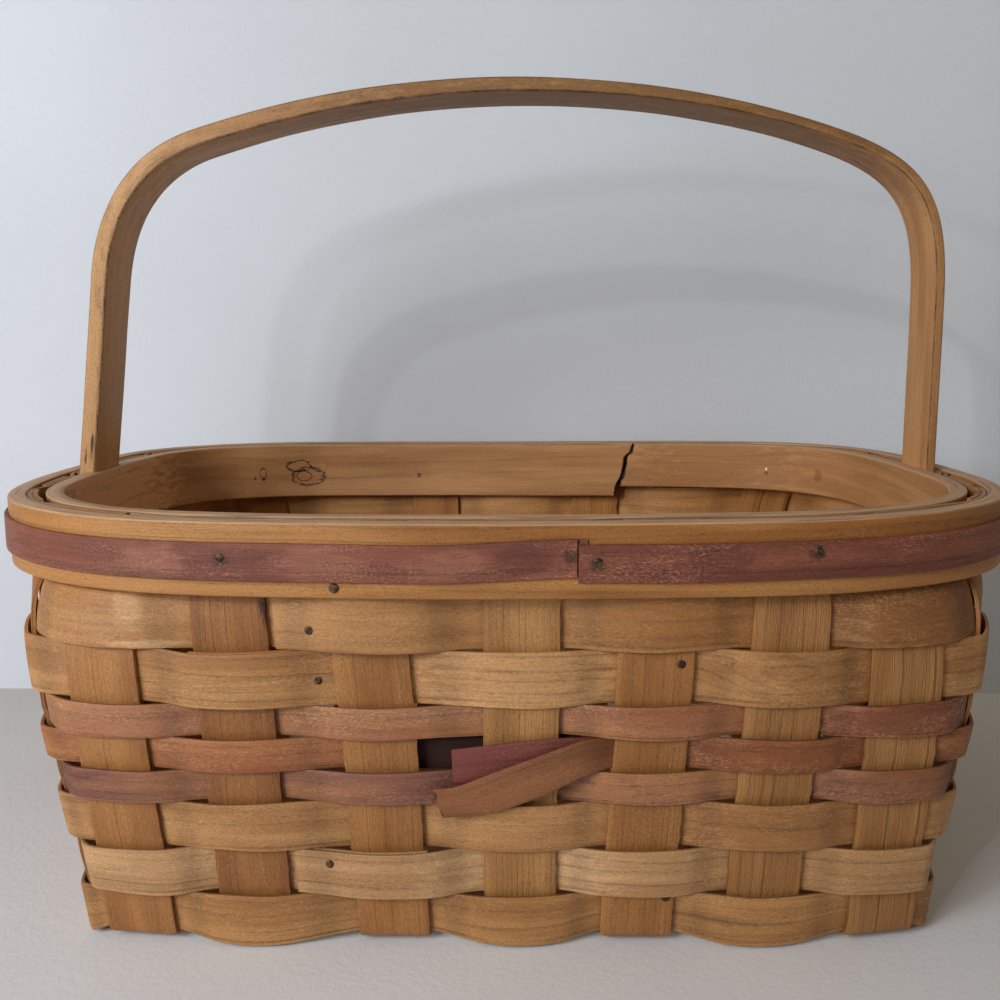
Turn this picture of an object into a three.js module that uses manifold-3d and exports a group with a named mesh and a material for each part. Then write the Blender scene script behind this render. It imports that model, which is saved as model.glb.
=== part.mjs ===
// A rectangular woven wood-splint basket with a fixed bentwood handle.
// Millimetres, +Z up. X runs along the length and Y from the front to the back.
// The origin is on the table under the middle of the basket.
//
// Twelve flat splints run down one wall, across the plaited base and up the
// other wall. Nine weavers go round them, in front of one upright and behind
// the next. Two bent bands clamp the top edge between them, a thin stained band
// lies round the outer one, and the handle's legs stand in a seat of the inner one.

import * as THREE from 'three';
import { mergeVertices } from 'three/addons/utils/BufferGeometryUtils.js';
import Module from 'manifold-3d';

const { lerp, clamp } = THREE.MathUtils;

// Gap kept between pieces that lie against each other.
const fit = 0.3;

// Uprights: flat splints, counted from front to back and from end to end.
const uprightWidth = 25.4;
const uprightThickness = 1.6;
const bendRadius = 2;
const acrossCount = 7;
const alongCount = 5;
// From the end wall to the outermost of the uprights that run from front to back.
const endInsetBase = 7.1;
const endInsetRim = 31.7;
// From each of these round the corner to the first upright of the end wall, along the wall.
const cornerPitchBase = 31;
const cornerPitchRim = 45;
// The maker set the uprights by eye, so each of the seven stands a little to one side.
const driftBase = [2, 0, 4.5, 4.3, 1.9, 1.2, 1.5];
const driftFrontRim = [-2, -0.7, 0, 5.4, 5.4, 4.2, -0.7];
const driftBackRim = [0, 3, 5, 5, 4.5, 5, 6];

// Weavers: rows counted down from the rim, row 0 hidden between the bands.
const weaverThickness = 1.3;
const weaverBulge = 0.9;
const weaverFoot = 0.8;
const wideRow = 18.05;
const narrowRow = 10.9;
const lowRow = 16.1;
const bottomRow = 17.6;

// The wall's middle surface, a superellipse that widens and softens upward. The ends lean
// out and the corners soften slowly at first, by this power of the height.
const baseHalfLength = 141;
const baseHalfWidth = 105;
const baseSquareness = 16;
const endFlare = 30;
const sideFlare = 5.4;
const rimSquareness = 3.5;
const flarePower = 1.5;
const endRise = 1.4;

// The two rim bands, thinner on the long sides than round the ends.
const bandHeight = 23;
const bandSideThickness = 5.6;
const bandEndThickness = 6;
const scarfLength = 45;
const scarfTip = 0.9;
const scarfCentreX = -60;
const spliceX = 60;
const buttGap = 0.4;
const innerBandDrop = 3;
const bandChamfer = 0.9;

// The stained band on the outer rim band, lapped at the front.
const accentHeight = 11.6;
const accentThickness = 1.6;
const accentDrop = 5.8;
const accentLap = 10;
const accentLapX = 22;

// The handle strip. Its left leg leans in further than its right one.
const handleWidth = 21.5;
const handleThickness = 5.8;
const handleChamfer = 0.9;
const handleRise = 150.2;
const crownRadius = 430;
const crownX = 6;
const leftShoulder = { lean: 11.4, legRise: 81.6, reach: 54.9, tightness: 0.65 };
const rightShoulder = { lean: 0.5, legRise: 75, reach: 39.9, tightness: 0.78 };

// A weaver's ends overlap over one upright. The outer end starts this far into the gap.
const lapStart = 0.15;

// The broken weaver of row 4: a split tongue left in place and a splinter peeled off it.
const tongueReach = 8.8;
const splinterThickness = 0.7;
const splinterEndHeight = 8.5;
const splinterMiddleHeight = 10.5;
const splinterLength = 50;
const splinterFall = 15.5;
const splinterStand = 5.2;

// Heights that follow from the rows.
const rowHeights = [
  wideRow, wideRow, narrowRow, narrowRow, narrowRow, lowRow, lowRow, bottomRow,
];
const bandFoot = weaverFoot + rowHeights.reduce((sum, height) => sum + height, 0);
const rimTop = bandFoot + bandHeight;
const handleTop = rimTop + handleRise;

// Plan sizes that follow from the base and the flare.
const rimHalfLength = baseHalfLength + endFlare;
const rimHalfWidth = baseHalfWidth + sideFlare;
const acrossPitchBase = (baseHalfLength - endInsetBase - uprightWidth / 2) / ((acrossCount - 1) / 2);
const acrossPitchRim = (rimHalfLength - endInsetRim - uprightWidth / 2) / ((acrossCount - 1) / 2);

// Offsets from the wall's middle surface, outward positive.
const weaverOffset = uprightThickness / 2 + fit + weaverThickness / 2;
const lapOffset = weaverThickness + fit;
const bandOffset = weaverOffset + weaverThickness / 2 + fit;
const lowLevel = uprightThickness / 2;
const highLevel = lowLevel + uprightThickness + fit;
const insideFoot = highLevel + bendRadius - fit;

const uprightTotal = 2 * (acrossCount + alongCount);
const firstBack = acrossCount + alongCount;
const firstLeft = firstBack + acrossCount;

const woods = {
  upright: { color: '#b0824f', roughness: 0.72, metalness: 0 },
  natural: { color: '#c39a68', roughness: 0.7, metalness: 0 },
  rose: { color: '#a8705c', roughness: 0.74, metalness: 0 },
  orange: { color: '#b87a55', roughness: 0.74, metalness: 0 },
  purple: { color: '#7d5257', roughness: 0.76, metalness: 0 },
  band: { color: '#b98d58', roughness: 0.6, metalness: 0 },
  accent: { color: '#7f4a46', roughness: 0.7, metalness: 0 },
  handle: { color: '#b88a57', roughness: 0.55, metalness: 0 },
};

const wasm = await Module();
wasm.setup();

// Solids

// Joins convex sections of equal corners into one strip with closed ends. The corners
// go round from the outer face's first edge to its second, then back along the inner face.
function loft(sections) {
  const corners = sections[0].length;
  const positions = sections.flat().flatMap((corner) => corner.toArray());
  const index = [];
  for (let i = 0; i < sections.length - 1; i += 1) {
    const here = i * corners;
    const next = here + corners;
    for (let side = 0; side < corners; side += 1) {
      const after = (side + 1) % corners;
      index.push(here + side, next + side, next + after);
      index.push(here + side, next + after, here + after);
    }
  }
  const last = (sections.length - 1) * corners;
  for (let corner = 1; corner < corners - 1; corner += 1) {
    index.push(0, corner, corner + 1);
    index.push(last, last + corner + 1, last + corner);
  }
  const geometry = new THREE.BufferGeometry();
  geometry.setAttribute('position', new THREE.Float32BufferAttribute(positions, 3));
  geometry.setIndex(index);
  return geometry;
}

function toManifold(geometry) {
  const bare = geometry.clone();
  bare.deleteAttribute('normal');
  bare.deleteAttribute('uv');
  const merged = mergeVertices(bare);
  return new wasm.Manifold(new wasm.Mesh({
    numProp: 3,
    vertProperties: new Float32Array(merged.attributes.position.array),
    triVerts: new Uint32Array(merged.index.array),
  }));
}

function toGeometry(solid) {
  const mesh = solid.getMesh();
  const geometry = new THREE.BufferGeometry();
  geometry.setAttribute('position', new THREE.BufferAttribute(mesh.vertProperties, 3));
  geometry.setIndex(new THREE.BufferAttribute(mesh.triVerts, 1));
  return geometry;
}

// The wall

// The closed curve of the wall's middle surface at one height, as points and lengths
// from the front centre, rightward round.
const loopSteps = 1440;
const loops = new Map();

function traceLoop(z) {
  const flare = clamp(z / bandFoot, 0, 1);
  const lateFlare = flare ** flarePower;
  const halfLength = lerp(baseHalfLength, rimHalfLength, lateFlare);
  const halfWidth = lerp(baseHalfWidth, rimHalfWidth, flare);
  const squareness = lerp(baseSquareness, rimSquareness, lateFlare);
  const points = [];
  const lengths = [0];
  for (let i = 0; i <= loopSteps; i += 1) {
    const angle = (2 * Math.PI * i) / loopSteps - Math.PI / 2;
    const across = Math.abs(Math.cos(angle) / halfLength) ** squareness;
    const deep = Math.abs(Math.sin(angle) / halfWidth) ** squareness;
    const radius = (across + deep) ** (-1 / squareness);
    points.push(new THREE.Vector2(Math.cos(angle) * radius, Math.sin(angle) * radius));
    if (i > 0) lengths.push(lengths[i - 1] + points[i].distanceTo(points[i - 1]));
  }
  return { halfLength, halfWidth, squareness, points, lengths, total: lengths[loopSteps] };
}

function wallLoop(z) {
  const key = Math.min(z, bandFoot).toFixed(4);
  if (!loops.has(key)) loops.set(key, traceLoop(z));
  return loops.get(key);
}

// Point and outward normal of a loop at a length from its front centre.
function onLoop(loop, length) {
  const wrapped = ((length % loop.total) + loop.total) % loop.total;
  let low = 0;
  let high = loopSteps;
  while (high - low > 1) {
    const middle = (low + high) >> 1;
    if (loop.lengths[middle] <= wrapped) low = middle;
    else high = middle;
  }
  const share = (wrapped - loop.lengths[low]) / (loop.lengths[high] - loop.lengths[low]);
  const tangent = loop.points[high].clone().sub(loop.points[low]).normalize();
  return {
    point: loop.points[low].clone().lerp(loop.points[high], share),
    normal: new THREE.Vector2(tangent.y, -tangent.x),
  };
}

// Length along a loop at which the front wall, or the back one, has a given x.
function lengthAtX(loop, x, back) {
  const reach = 1 - Math.abs(x / loop.halfLength) ** loop.squareness;
  const y = loop.halfWidth * reach ** (1 / loop.squareness);
  const turn = Math.atan2(back ? y : -y, x) + Math.PI / 2;
  const place = (Math.abs(turn) / (2 * Math.PI)) * loopSteps;
  const whole = Math.floor(place);
  const length = lerp(loop.lengths[whole], loop.lengths[whole + 1], place - whole);
  return Math.sign(turn) * length;
}

// Length along the loop to the middle of an upright. Uprights are counted from the
// left of the front wall, rightward round. Those of the end walls share what is left.
function uprightLength(loop, z, index) {
  const flare = clamp(z / bandFoot, 0, 1);
  const pitch = lerp(acrossPitchBase, acrossPitchRim, flare);
  const acrossLength = (column, back) => {
    const driftRim = back ? driftBackRim : driftFrontRim;
    const drift = lerp(driftBase[column] ?? 0, driftRim[column] ?? 0, flare);
    return lengthAtX(loop, (column - (acrossCount - 1) / 2) * pitch + drift, back);
  };
  if (index < acrossCount) return acrossLength(index, false);
  if (index >= firstBack && index < firstLeft) {
    return acrossLength(firstLeft - 1 - index, true);
  }
  const onRight = index < firstBack;
  const before = onRight ? acrossLength(acrossCount - 1, false) : acrossLength(0, true);
  const after = onRight
    ? acrossLength(acrossCount - 1, true)
    : acrossLength(0, false) + loop.total;
  const corner = lerp(cornerPitchBase, cornerPitchRim, flare);
  const step = index - (onRight ? acrossCount : firstLeft);
  return lerp(before + corner, after - corner, step / (alongCount - 1));
}

// The flat cross-section of an upright: its two edges and its outward normal in plan.
function uprightChord(index, z) {
  const loop = wallLoop(z);
  const middle = uprightLength(loop, z, index);
  const start = onLoop(loop, middle - uprightWidth / 2).point;
  const end = onLoop(loop, middle + uprightWidth / 2).point;
  const tangent = end.clone().sub(start).normalize();
  return { start, end, tangent, normal: new THREE.Vector2(tangent.y, -tangent.x) };
}

// The rim and the rows rise a little toward the ends.
function lifted(x, z) {
  return z + endRise * (x / rimHalfLength) ** 2 * (z / rimTop);
}

function wallPoint(point, normal, offset, z) {
  const x = point.x + normal.x * offset;
  const y = point.y + normal.y * offset;
  return new THREE.Vector3(x, y, lifted(x, z));
}

// Uprights

function columnIsHigh(column, strip) {
  return (column + strip) % 2 === 0;
}

const columnX = [];
for (let column = 0; column < acrossCount; column += 1) {
  const chord = uprightChord(column, 0);
  columnX.push((chord.start.x + chord.end.x) / 2);
}

const stripY = [];
for (let strip = 0; strip < alongCount; strip += 1) {
  const chord = uprightChord(acrossCount + strip, 0);
  stripY.push((chord.start.y + chord.end.y) / 2);
}

// Sections of an upright from the rim down to the base, ending with its bend.
function wallSections(index, level, goingUp) {
  const section = (chord, outerIn, outerZ, innerIn, innerZ) => {
    const first = goingUp ? chord.end : chord.start;
    const second = goingUp ? chord.start : chord.end;
    return [
      wallPoint(first, chord.normal, -outerIn, outerZ),
      wallPoint(second, chord.normal, -outerIn, outerZ),
      wallPoint(second, chord.normal, -innerIn, innerZ),
      wallPoint(first, chord.normal, -innerIn, innerZ),
    ];
  };
  const half = uprightThickness / 2;
  const sections = [];
  const heights = [rimTop, bandFoot];
  let z = bandFoot;
  for (const height of rowHeights.slice(0, -1)) {
    z -= height;
    heights.push(z);
  }
  for (const height of heights) {
    sections.push(section(uprightChord(index, height), -half, height, half, height));
  }
  const bendTop = level + bendRadius;
  const chord = uprightChord(index, bendTop);
  const bendSteps = 3;
  for (let step = 0; step <= bendSteps; step += 1) {
    const turn = (Math.PI / 2) * (step / bendSteps);
    const outer = bendRadius + half;
    const inner = bendRadius - half;
    sections.push(section(
      chord,
      bendRadius - outer * Math.cos(turn),
      bendTop - outer * Math.sin(turn),
      bendRadius - inner * Math.cos(turn),
      bendTop - inner * Math.sin(turn),
    ));
  }
  return goingUp ? sections.reverse() : sections;
}

// One section of an upright where it lies in the base. The run goes along Y for the
// uprights from front to back, and from the right end to the left for the others.
function baseSection(runsAcross, middle, place, level) {
  const half = uprightThickness / 2;
  const corner = (side, z) => {
    const edge = middle + side * (uprightWidth / 2);
    return runsAcross ? new THREE.Vector3(edge, place, z) : new THREE.Vector3(place, edge, z);
  };
  const under = level - half;
  const over = level + half;
  return [corner(-1, under), corner(1, under), corner(1, over), corner(-1, over)];
}

// A whole upright: down one wall, over and under the others in the base, up the far wall.
function upright(runsAcross, place) {
  const middle = runsAcross ? columnX[place] : stripY[place];
  const crossed = runsAcross ? stripY : [...columnX].reverse();
  const travel = runsAcross ? 1 : -1;
  const levelAt = (order) => {
    if (runsAcross) return columnIsHigh(place, order) ? highLevel : lowLevel;
    const column = acrossCount - 1 - order;
    return columnIsHigh(column, place) ? lowLevel : highLevel;
  };
  const downIndex = runsAcross ? place : acrossCount + place;
  const upIndex = runsAcross ? firstLeft - 1 - place : uprightTotal - 1 - place;
  const reach = uprightWidth / 2 + fit;
  const sections = wallSections(downIndex, levelAt(0), false);
  crossed.forEach((centre, order) => {
    const level = levelAt(order);
    sections.push(baseSection(runsAcross, middle, centre - travel * reach, level));
    sections.push(baseSection(runsAcross, middle, centre + travel * reach, level));
  });
  sections.push(...wallSections(upIndex, levelAt(crossed.length - 1), true));
  return loft(sections);
}

// Weavers

function isOutside(row, index) {
  return (row + index) % 2 === 1;
}

// Height limits of a row. The bottom row sags past the bends where it lies outside.
function rowLimits(row) {
  if (row === 0) return { foot: bandFoot + fit / 2, top: rimTop - fit };
  const above = rowHeights.slice(0, row - 1).reduce((sum, height) => sum + height, 0);
  const top = bandFoot - above - fit / 2;
  return { foot: bandFoot - above - rowHeights[row - 1] + fit / 2, top };
}

function rowFoot(row, side) {
  if (row < rowHeights.length) return rowLimits(row).foot;
  return lerp(insideFoot, weaverFoot, (side + 1) / 2);
}

// One section of a weaver. The place gives a point and a normal for any height, side
// is 1 outside, -1 inside and 0 in the middle of a gap.
function weaverSection(row, place, side, middle, layer) {
  const foot = rowFoot(row, side);
  const { top } = rowLimits(row);
  const inner = middle - weaverThickness / 2;
  const outer = layer === 'inner' ? middle - fit / 2 : middle + weaverThickness / 2;
  const low = place(foot);
  const high = place(top);
  return [
    wallPoint(low.point, low.normal, outer, foot),
    wallPoint(high.point, high.normal, outer, top),
    wallPoint(high.point, high.normal, inner, top),
    wallPoint(low.point, low.normal, inner, foot),
  ];
}

// A place on an upright, by its share of the width from the first edge to the second.
function onUpright(index, share, beyond = 0) {
  return (z) => {
    const chord = uprightChord(index, z);
    const point = chord.start.clone().lerp(chord.end, share);
    return { point: point.addScaledVector(chord.tangent, beyond), normal: chord.normal };
  };
}

// A place between an upright and the next one, by its share of the gap.
function inGap(index, share) {
  return (z) => {
    const loop = wallLoop(z);
    const next = (index + 1) % uprightTotal;
    const wrap = next === 0 ? loop.total : 0;
    const from = uprightLength(loop, z, index) + uprightWidth / 2;
    const to = uprightLength(loop, z, next) + wrap - uprightWidth / 2;
    return onLoop(loop, lerp(from, to, share));
  };
}

// Sections of a weaver over the width of one upright, in front of it or behind it.
function crossing(row, index, raise = 0, layer = 'whole') {
  const side = isOutside(row, index) ? 1 : -1;
  const bulge = side > 0 && row > 0 ? weaverBulge : 0;
  const shares = bulge > 0 ? [0, 0.5, 1] : [0, 1];
  return shares.map((share) => {
    const middle = side * weaverOffset + raise + (share === 0.5 ? bulge : 0);
    return weaverSection(row, onUpright(index, share), side, middle, layer);
  });
}

// The section midway to the next upright, where the weaver changes sides.
function changeover(row, index, raise = 0, layer = 'whole') {
  return weaverSection(row, inGap(index, 0.5), 0, raise, layer);
}

// A weaver whose ends overlap over one upright. Its outer end lies on its inner end and
// stops short of the neighbouring upright, on the near side or on the far one.
function lappedWeaver(row, lapIndex, outerEndFirst) {
  const before = (lapIndex + uprightTotal - 1) % uprightTotal;
  const tipOffset = lapOffset - weaverOffset * (1 - 2 * lapStart);
  const outerEnd = [
    weaverSection(row, inGap(before, lapStart), -1 + 2 * lapStart, tipOffset, 'whole'),
    changeover(row, before, lapOffset),
    ...crossing(row, lapIndex, lapOffset),
  ];
  const sections = outerEndFirst ? [...outerEnd] : [...crossing(row, lapIndex)];
  sections.push(changeover(row, lapIndex));
  for (let step = 1; step < uprightTotal - 1; step += 1) {
    const index = (lapIndex + step) % uprightTotal;
    sections.push(...crossing(row, index), changeover(row, index));
  }
  sections.push(...crossing(row, before));
  if (outerEndFirst) {
    sections.push(changeover(row, before), ...crossing(row, lapIndex));
    return loft(sections);
  }
  sections.push(changeover(row, before), ...crossing(row, lapIndex, lapOffset));
  sections.push(changeover(row, lapIndex, lapOffset));
  const tip = inGap(lapIndex, 1 - lapStart);
  sections.push(weaverSection(row, tip, -1 + 2 * lapStart, tipOffset, 'whole'));
  return loft(sections);
}

// The weaver between the bands has no room for a lap, so it is butted behind an upright.
function buttedWeaver(row, index) {
  const middle = -weaverOffset;
  const behind = (share) => weaverSection(row, onUpright(index, share), -1, middle, 'whole');
  const sections = [behind(0.5), behind(1), changeover(row, index)];
  for (let step = 1; step < uprightTotal; step += 1) {
    const next = (index + step) % uprightTotal;
    sections.push(...crossing(row, next), changeover(row, next));
  }
  sections.push(behind(0), behind(0.5 - buttGap / uprightWidth));
  return loft(sections);
}

// The weaver that broke at the front. It starts as a split tongue over the middle
// upright, goes all round and ends behind the upright before it.
function brokenWeaver(row) {
  const first = (acrossCount - 1) / 2;
  const start = onUpright(first, 0, -tongueReach);
  const sections = [weaverSection(row, start, 1, weaverOffset, 'inner')];
  sections.push(...crossing(row, first, 0, 'inner'), changeover(row, first, 0, 'inner'));
  for (let step = 1; step < uprightTotal - 1; step += 1) {
    const index = (first + step) % uprightTotal;
    sections.push(...crossing(row, index), changeover(row, index));
  }
  for (const share of [0, 0.5]) {
    const place = onUpright(first - 1, share);
    sections.push(weaverSection(row, place, -1, -weaverOffset, 'whole'));
  }
  return toManifold(loft(sections));
}

// The splinter is rooted where the weaver dives behind the next upright. It curves out
// over the middle upright and hangs leftward and down in front of the row below.
function splinter(row) {
  const { foot, top } = rowLimits(row);
  const { start: edge, normal } = uprightChord((acrossCount - 1) / 2 + 1, foot);
  const at = (share, offset, fall) => new THREE.Vector3(
    edge.x + normal.x * offset - share * splinterLength,
    edge.y + normal.y * offset,
    (foot + top) / 2 - fall,
  );
  const curve = new THREE.CubicBezierCurve3(
    at(0, -weaverOffset, 0),
    at(0.25, splinterStand, 0),
    at(0.6, splinterStand, splinterFall / 2),
    at(1, splinterStand, splinterFall),
  );
  const sections = curve.getPoints(8).map((point, i, points) => {
    const middling = Math.sin((Math.PI * i) / (points.length - 1));
    const half = lerp(splinterEndHeight, splinterMiddleHeight, middling) / 2;
    const corner = (side, rise) => new THREE.Vector3(
      point.x,
      point.y - side * (splinterThickness / 2),
      point.z + rise * half,
    );
    return [corner(1, -1), corner(1, 1), corner(-1, 1), corner(-1, -1)];
  });
  return toManifold(loft(sections.reverse()));
}

// Rim bands

const rimLoop = wallLoop(rimTop);

// The flat uprights cut the corners of the curve by this much at most.
let cornerCut = 0;
for (let index = 0; index < uprightTotal; index += 1) {
  const chord = uprightChord(index, rimTop);
  const middle = chord.start.clone().lerp(chord.end, 0.5);
  const onCurve = onLoop(rimLoop, uprightLength(rimLoop, rimTop, index)).point;
  cornerCut = Math.max(cornerCut, middle.distanceTo(onCurve));
}

function bandThickness(normal) {
  return lerp(bandSideThickness, bandEndThickness, normal.x ** 2);
}

// The inner band stands off the uprights by their cut at the corners, and by what the
// wall leans in beside the lowest part of the band.
function innerBandFace(normal) {
  const lean = lerp(sideFlare, flarePower * endFlare, normal.x ** 2) / bandFoot;
  const corner = cornerCut * 2 * Math.abs(normal.x * normal.y);
  return -(bandOffset + corner + lean * innerBandDrop);
}

// One section of a band. The chamfer is at the edges of its outer face where it is
// positive, and at those of its inner face where it is negative.
function bandSection(length, faces, limits) {
  const { point, normal } = onLoop(rimLoop, length);
  const { inner, outer } = faces(normal);
  const { foot, top, chamfer } = limits;
  const corner = (offset, z) => wallPoint(point, normal, offset, z);
  const cut = Math.min(Math.abs(chamfer), (outer - inner) / 2);
  if (chamfer > 0) {
    return [
      corner(outer, foot + cut),
      corner(outer, top - cut),
      corner(outer - cut, top),
      corner(inner, top),
      corner(inner, foot),
      corner(outer - cut, foot),
    ];
  }
  if (chamfer < 0) {
    return [
      corner(outer, foot),
      corner(outer, top),
      corner(inner + cut, top),
      corner(inner, top - cut),
      corner(inner, foot + cut),
      corner(inner + cut, foot),
    ];
  }
  return [corner(outer, foot), corner(outer, top), corner(inner, top), corner(inner, foot)];
}

// All bands have their sections at the same stations, so that their faces stay parallel.
const rimStations = 96;
const rimStep = rimLoop.total / rimStations;

function stationNear(x, back) {
  return Math.round(lengthAtX(rimLoop, x, back) / rimStep);
}

// A band whose two ends overlap. In the lap one end lies outside the other, with the
// slanted seam between them running from one face toward the other.
function lappedBand(options) {
  const { first, lap, tip, startOutside, faces, limits } = options;
  const lapSteps = Math.max(1, Math.round(lap / rimStep));
  const seam = (normal, share) => {
    const { inner, outer } = faces(normal);
    const near = inner + tip + fit / 2;
    const far = outer - tip - fit / 2;
    return startOutside ? lerp(far, near, share) : lerp(near, far, share);
  };
  const lapFaces = (outside, share) => (normal) => {
    const { inner, outer } = faces(normal);
    if (outside) return { inner: seam(normal, share) + fit / 2, outer };
    return { inner, outer: seam(normal, share) - fit / 2 };
  };
  const sections = [];
  const addLap = (start, outside) => {
    for (let step = 0; step <= lapSteps; step += 1) {
      const length = (start + step) * rimStep - (start === first ? 0 : fit);
      sections.push(bandSection(length, lapFaces(outside, step / lapSteps), limits));
    }
  };
  addLap(first, startOutside);
  const bodyStart = first + lapSteps;
  const bodyEnd = first + rimStations;
  sections.push(bandSection(bodyStart * rimStep + 2 * fit, faces, limits));
  for (let station = bodyStart + 1; station < bodyEnd; station += 1) {
    sections.push(bandSection(station * rimStep, faces, limits));
  }
  sections.push(bandSection(bodyEnd * rimStep - 2 * fit, faces, limits));
  addLap(bodyEnd, !startOutside);
  return loft(sections);
}

function outerBandFaces(normal) {
  return { inner: bandOffset, outer: bandOffset + bandThickness(normal) };
}

function outerBand() {
  return lappedBand({
    first: stationNear(scarfCentreX + scarfLength / 2, true),
    lap: scarfLength,
    tip: scarfTip,
    startOutside: false,
    faces: outerBandFaces,
    limits: { foot: bandFoot + fit / 2, top: rimTop, chamfer: bandChamfer },
  });
}

function accentBand() {
  const top = rimTop - accentDrop;
  return lappedBand({
    first: stationNear(accentLapX, false),
    lap: accentLap,
    tip: (accentThickness - fit) / 2,
    startOutside: true,
    faces: (normal) => {
      const seat = outerBandFaces(normal).outer + fit;
      return { inner: seat, outer: seat + accentThickness };
    },
    limits: { foot: top - accentHeight, top, chamfer: 0 },
  });
}

// The inner band is butted at the back and gets wider toward one of its ends.
function innerBand() {
  const first = stationNear(spliceX, true);
  const faces = (normal) => {
    const outer = innerBandFace(normal);
    return { inner: outer - bandThickness(normal), outer };
  };
  const sections = [];
  for (let step = 0; step <= rimStations; step += 1) {
    const foot = bandFoot + fit / 2 - innerBandDrop * (1 - step / rimStations);
    const length = (first + step) * rimStep - (step === rimStations ? buttGap : 0);
    const limits = { foot, top: rimTop, chamfer: -bandChamfer };
    sections.push(bandSection(length, faces, limits));
  }
  return toManifold(loft(sections));
}

// Handle

const legFace = rimHalfLength - uprightThickness / 2 - fit;
const legFoot = lifted(legFace, bandFoot) + fit;
const legRim = lifted(legFace, rimTop);

// A block a little larger than a leg, for the seat in the inner band.
function legSeat(side) {
  const depth = handleThickness + 2 * fit;
  const outside = 2 * bandOffset;
  const tall = 3 * bandHeight;
  const block = new THREE.BoxGeometry(depth + outside, handleWidth + 2 * fit, tall);
  const middle = legFace - handleThickness - fit + (depth + outside) / 2;
  block.translate(side * middle, 0, (bandFoot + rimTop) / 2);
  return toManifold(block);
}

// A point of the crown, the flat arc of the handle's outer face.
function crownPoint(x) {
  const drop = crownRadius - Math.sqrt(crownRadius ** 2 - (x - crownX) ** 2);
  return new THREE.Vector2(x, handleTop - drop);
}

function crownStart(side, shoulder) {
  return crownPoint(side * (legFace - shoulder.reach));
}

// One side of the handle's outer face, from the leg's foot to the start of the crown.
function legPoints(side, shoulder) {
  const foot = new THREE.Vector2(side * legFace, legFoot);
  const rim = new THREE.Vector2(side * legFace, legRim);
  const legTop = new THREE.Vector2(
    side * (legFace - shoulder.lean),
    rimTop + shoulder.legRise,
  );
  const crown = crownStart(side, shoulder);
  const alongLeg = legTop.clone().sub(rim).normalize();
  const slope = -(crown.x - crownX) / (crown.y - (handleTop - crownRadius));
  const short = crown.y - legTop.y - slope * (crown.x - legTop.x);
  const corner = legTop.clone().addScaledVector(
    alongLeg,
    short / (alongLeg.y - slope * alongLeg.x),
  );
  const curve = new THREE.CubicBezierCurve(
    legTop,
    legTop.clone().lerp(corner, shoulder.tightness),
    crown.clone().lerp(corner, shoulder.tightness),
    crown,
  );
  const shoulderSteps = 8;
  return [foot, rim, ...curve.getPoints(shoulderSteps)];
}

function handlePath() {
  const left = legPoints(-1, leftShoulder);
  const right = legPoints(1, rightShoulder).reverse();
  const from = crownStart(-1, leftShoulder).x;
  const to = crownStart(1, rightShoulder).x;
  const crownSteps = 14;
  const crown = [];
  for (let step = 1; step < crownSteps; step += 1) {
    crown.push(crownPoint(lerp(from, to, step / crownSteps)));
  }
  return [...left, ...crown, ...right];
}

// The handle is a flat strip with eased edges, bent along its path.
function handleStrip() {
  const path = handlePath();
  const half = handleWidth / 2;
  const eased = half - handleChamfer;
  const sections = path.map((point, i) => {
    const arriving = point.clone().sub(path[Math.max(i - 1, 0)]).normalize();
    const leaving = path[Math.min(i + 1, path.length - 1)].clone().sub(point).normalize();
    const along = arriving.add(leaving).normalize();
    const corner = (depth, y) => new THREE.Vector3(
      point.x + along.y * depth,
      y,
      point.y - along.x * depth,
    );
    const shallow = handleChamfer;
    const deep = handleThickness - handleChamfer;
    return [
      corner(0, -eased),
      corner(0, eased),
      corner(shallow, half),
      corner(deep, half),
      corner(handleThickness, eased),
      corner(handleThickness, -eased),
      corner(deep, -half),
      corner(shallow, -half),
    ];
  });
  return loft(sections);
}

// Assembly

const basket = new THREE.Group();

function addPiece(name, geometry, wood) {
  geometry.computeVertexNormals();
  const piece = new THREE.Mesh(geometry, new THREE.MeshStandardMaterial(woods[wood]));
  piece.name = name;
  basket.add(piece);
}

for (let column = 0; column < acrossCount; column += 1) {
  addPiece(`upright_front_to_back_${column + 1}`, upright(true, column), 'upright');
}
for (let strip = 0; strip < alongCount; strip += 1) {
  addPiece(`upright_end_to_end_${strip + 1}`, upright(false, strip), 'upright');
}

// Each lap is named by the upright that it covers, in front of which its row passes.
const frontLeftLap = 2;
const frontEndLap = 1;
const backLap = firstBack + 1;
addPiece('weaver_under_rim', buttedWeaver(0, firstBack), 'natural');
addPiece('weaver_row_1', lappedWeaver(1, frontLeftLap, true), 'natural');
addPiece('weaver_row_2', lappedWeaver(2, frontEndLap, false), 'natural');
addPiece('weaver_row_3', lappedWeaver(3, backLap + 1, true), 'rose');
addPiece('weaver_row_4_broken', toGeometry(brokenWeaver(4).add(splinter(4))), 'orange');
addPiece('weaver_row_5', lappedWeaver(5, backLap + 3, true), 'purple');
addPiece('weaver_row_6', lappedWeaver(6, backLap, false), 'natural');
addPiece('weaver_row_7', lappedWeaver(7, frontLeftLap, true), 'natural');
addPiece('weaver_row_8', lappedWeaver(8, backLap + 2, true), 'natural');

const seatedInnerBand = innerBand().subtract(legSeat(-1)).subtract(legSeat(1));
addPiece('rim_outer_band', outerBand(), 'band');
addPiece('rim_inner_band', toGeometry(seatedInnerBand), 'band');
addPiece('rim_accent_band', accentBand(), 'accent');
addPiece('handle', handleStrip(), 'handle');

export default basket;
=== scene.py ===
from functools import lru_cache, partial
from itertools import accumulate
from math import atan2, cos, floor, pi, radians, sin, sqrt

import bmesh
import bpy
import numpy as np
from mathutils import Matrix, Vector, noise


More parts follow.
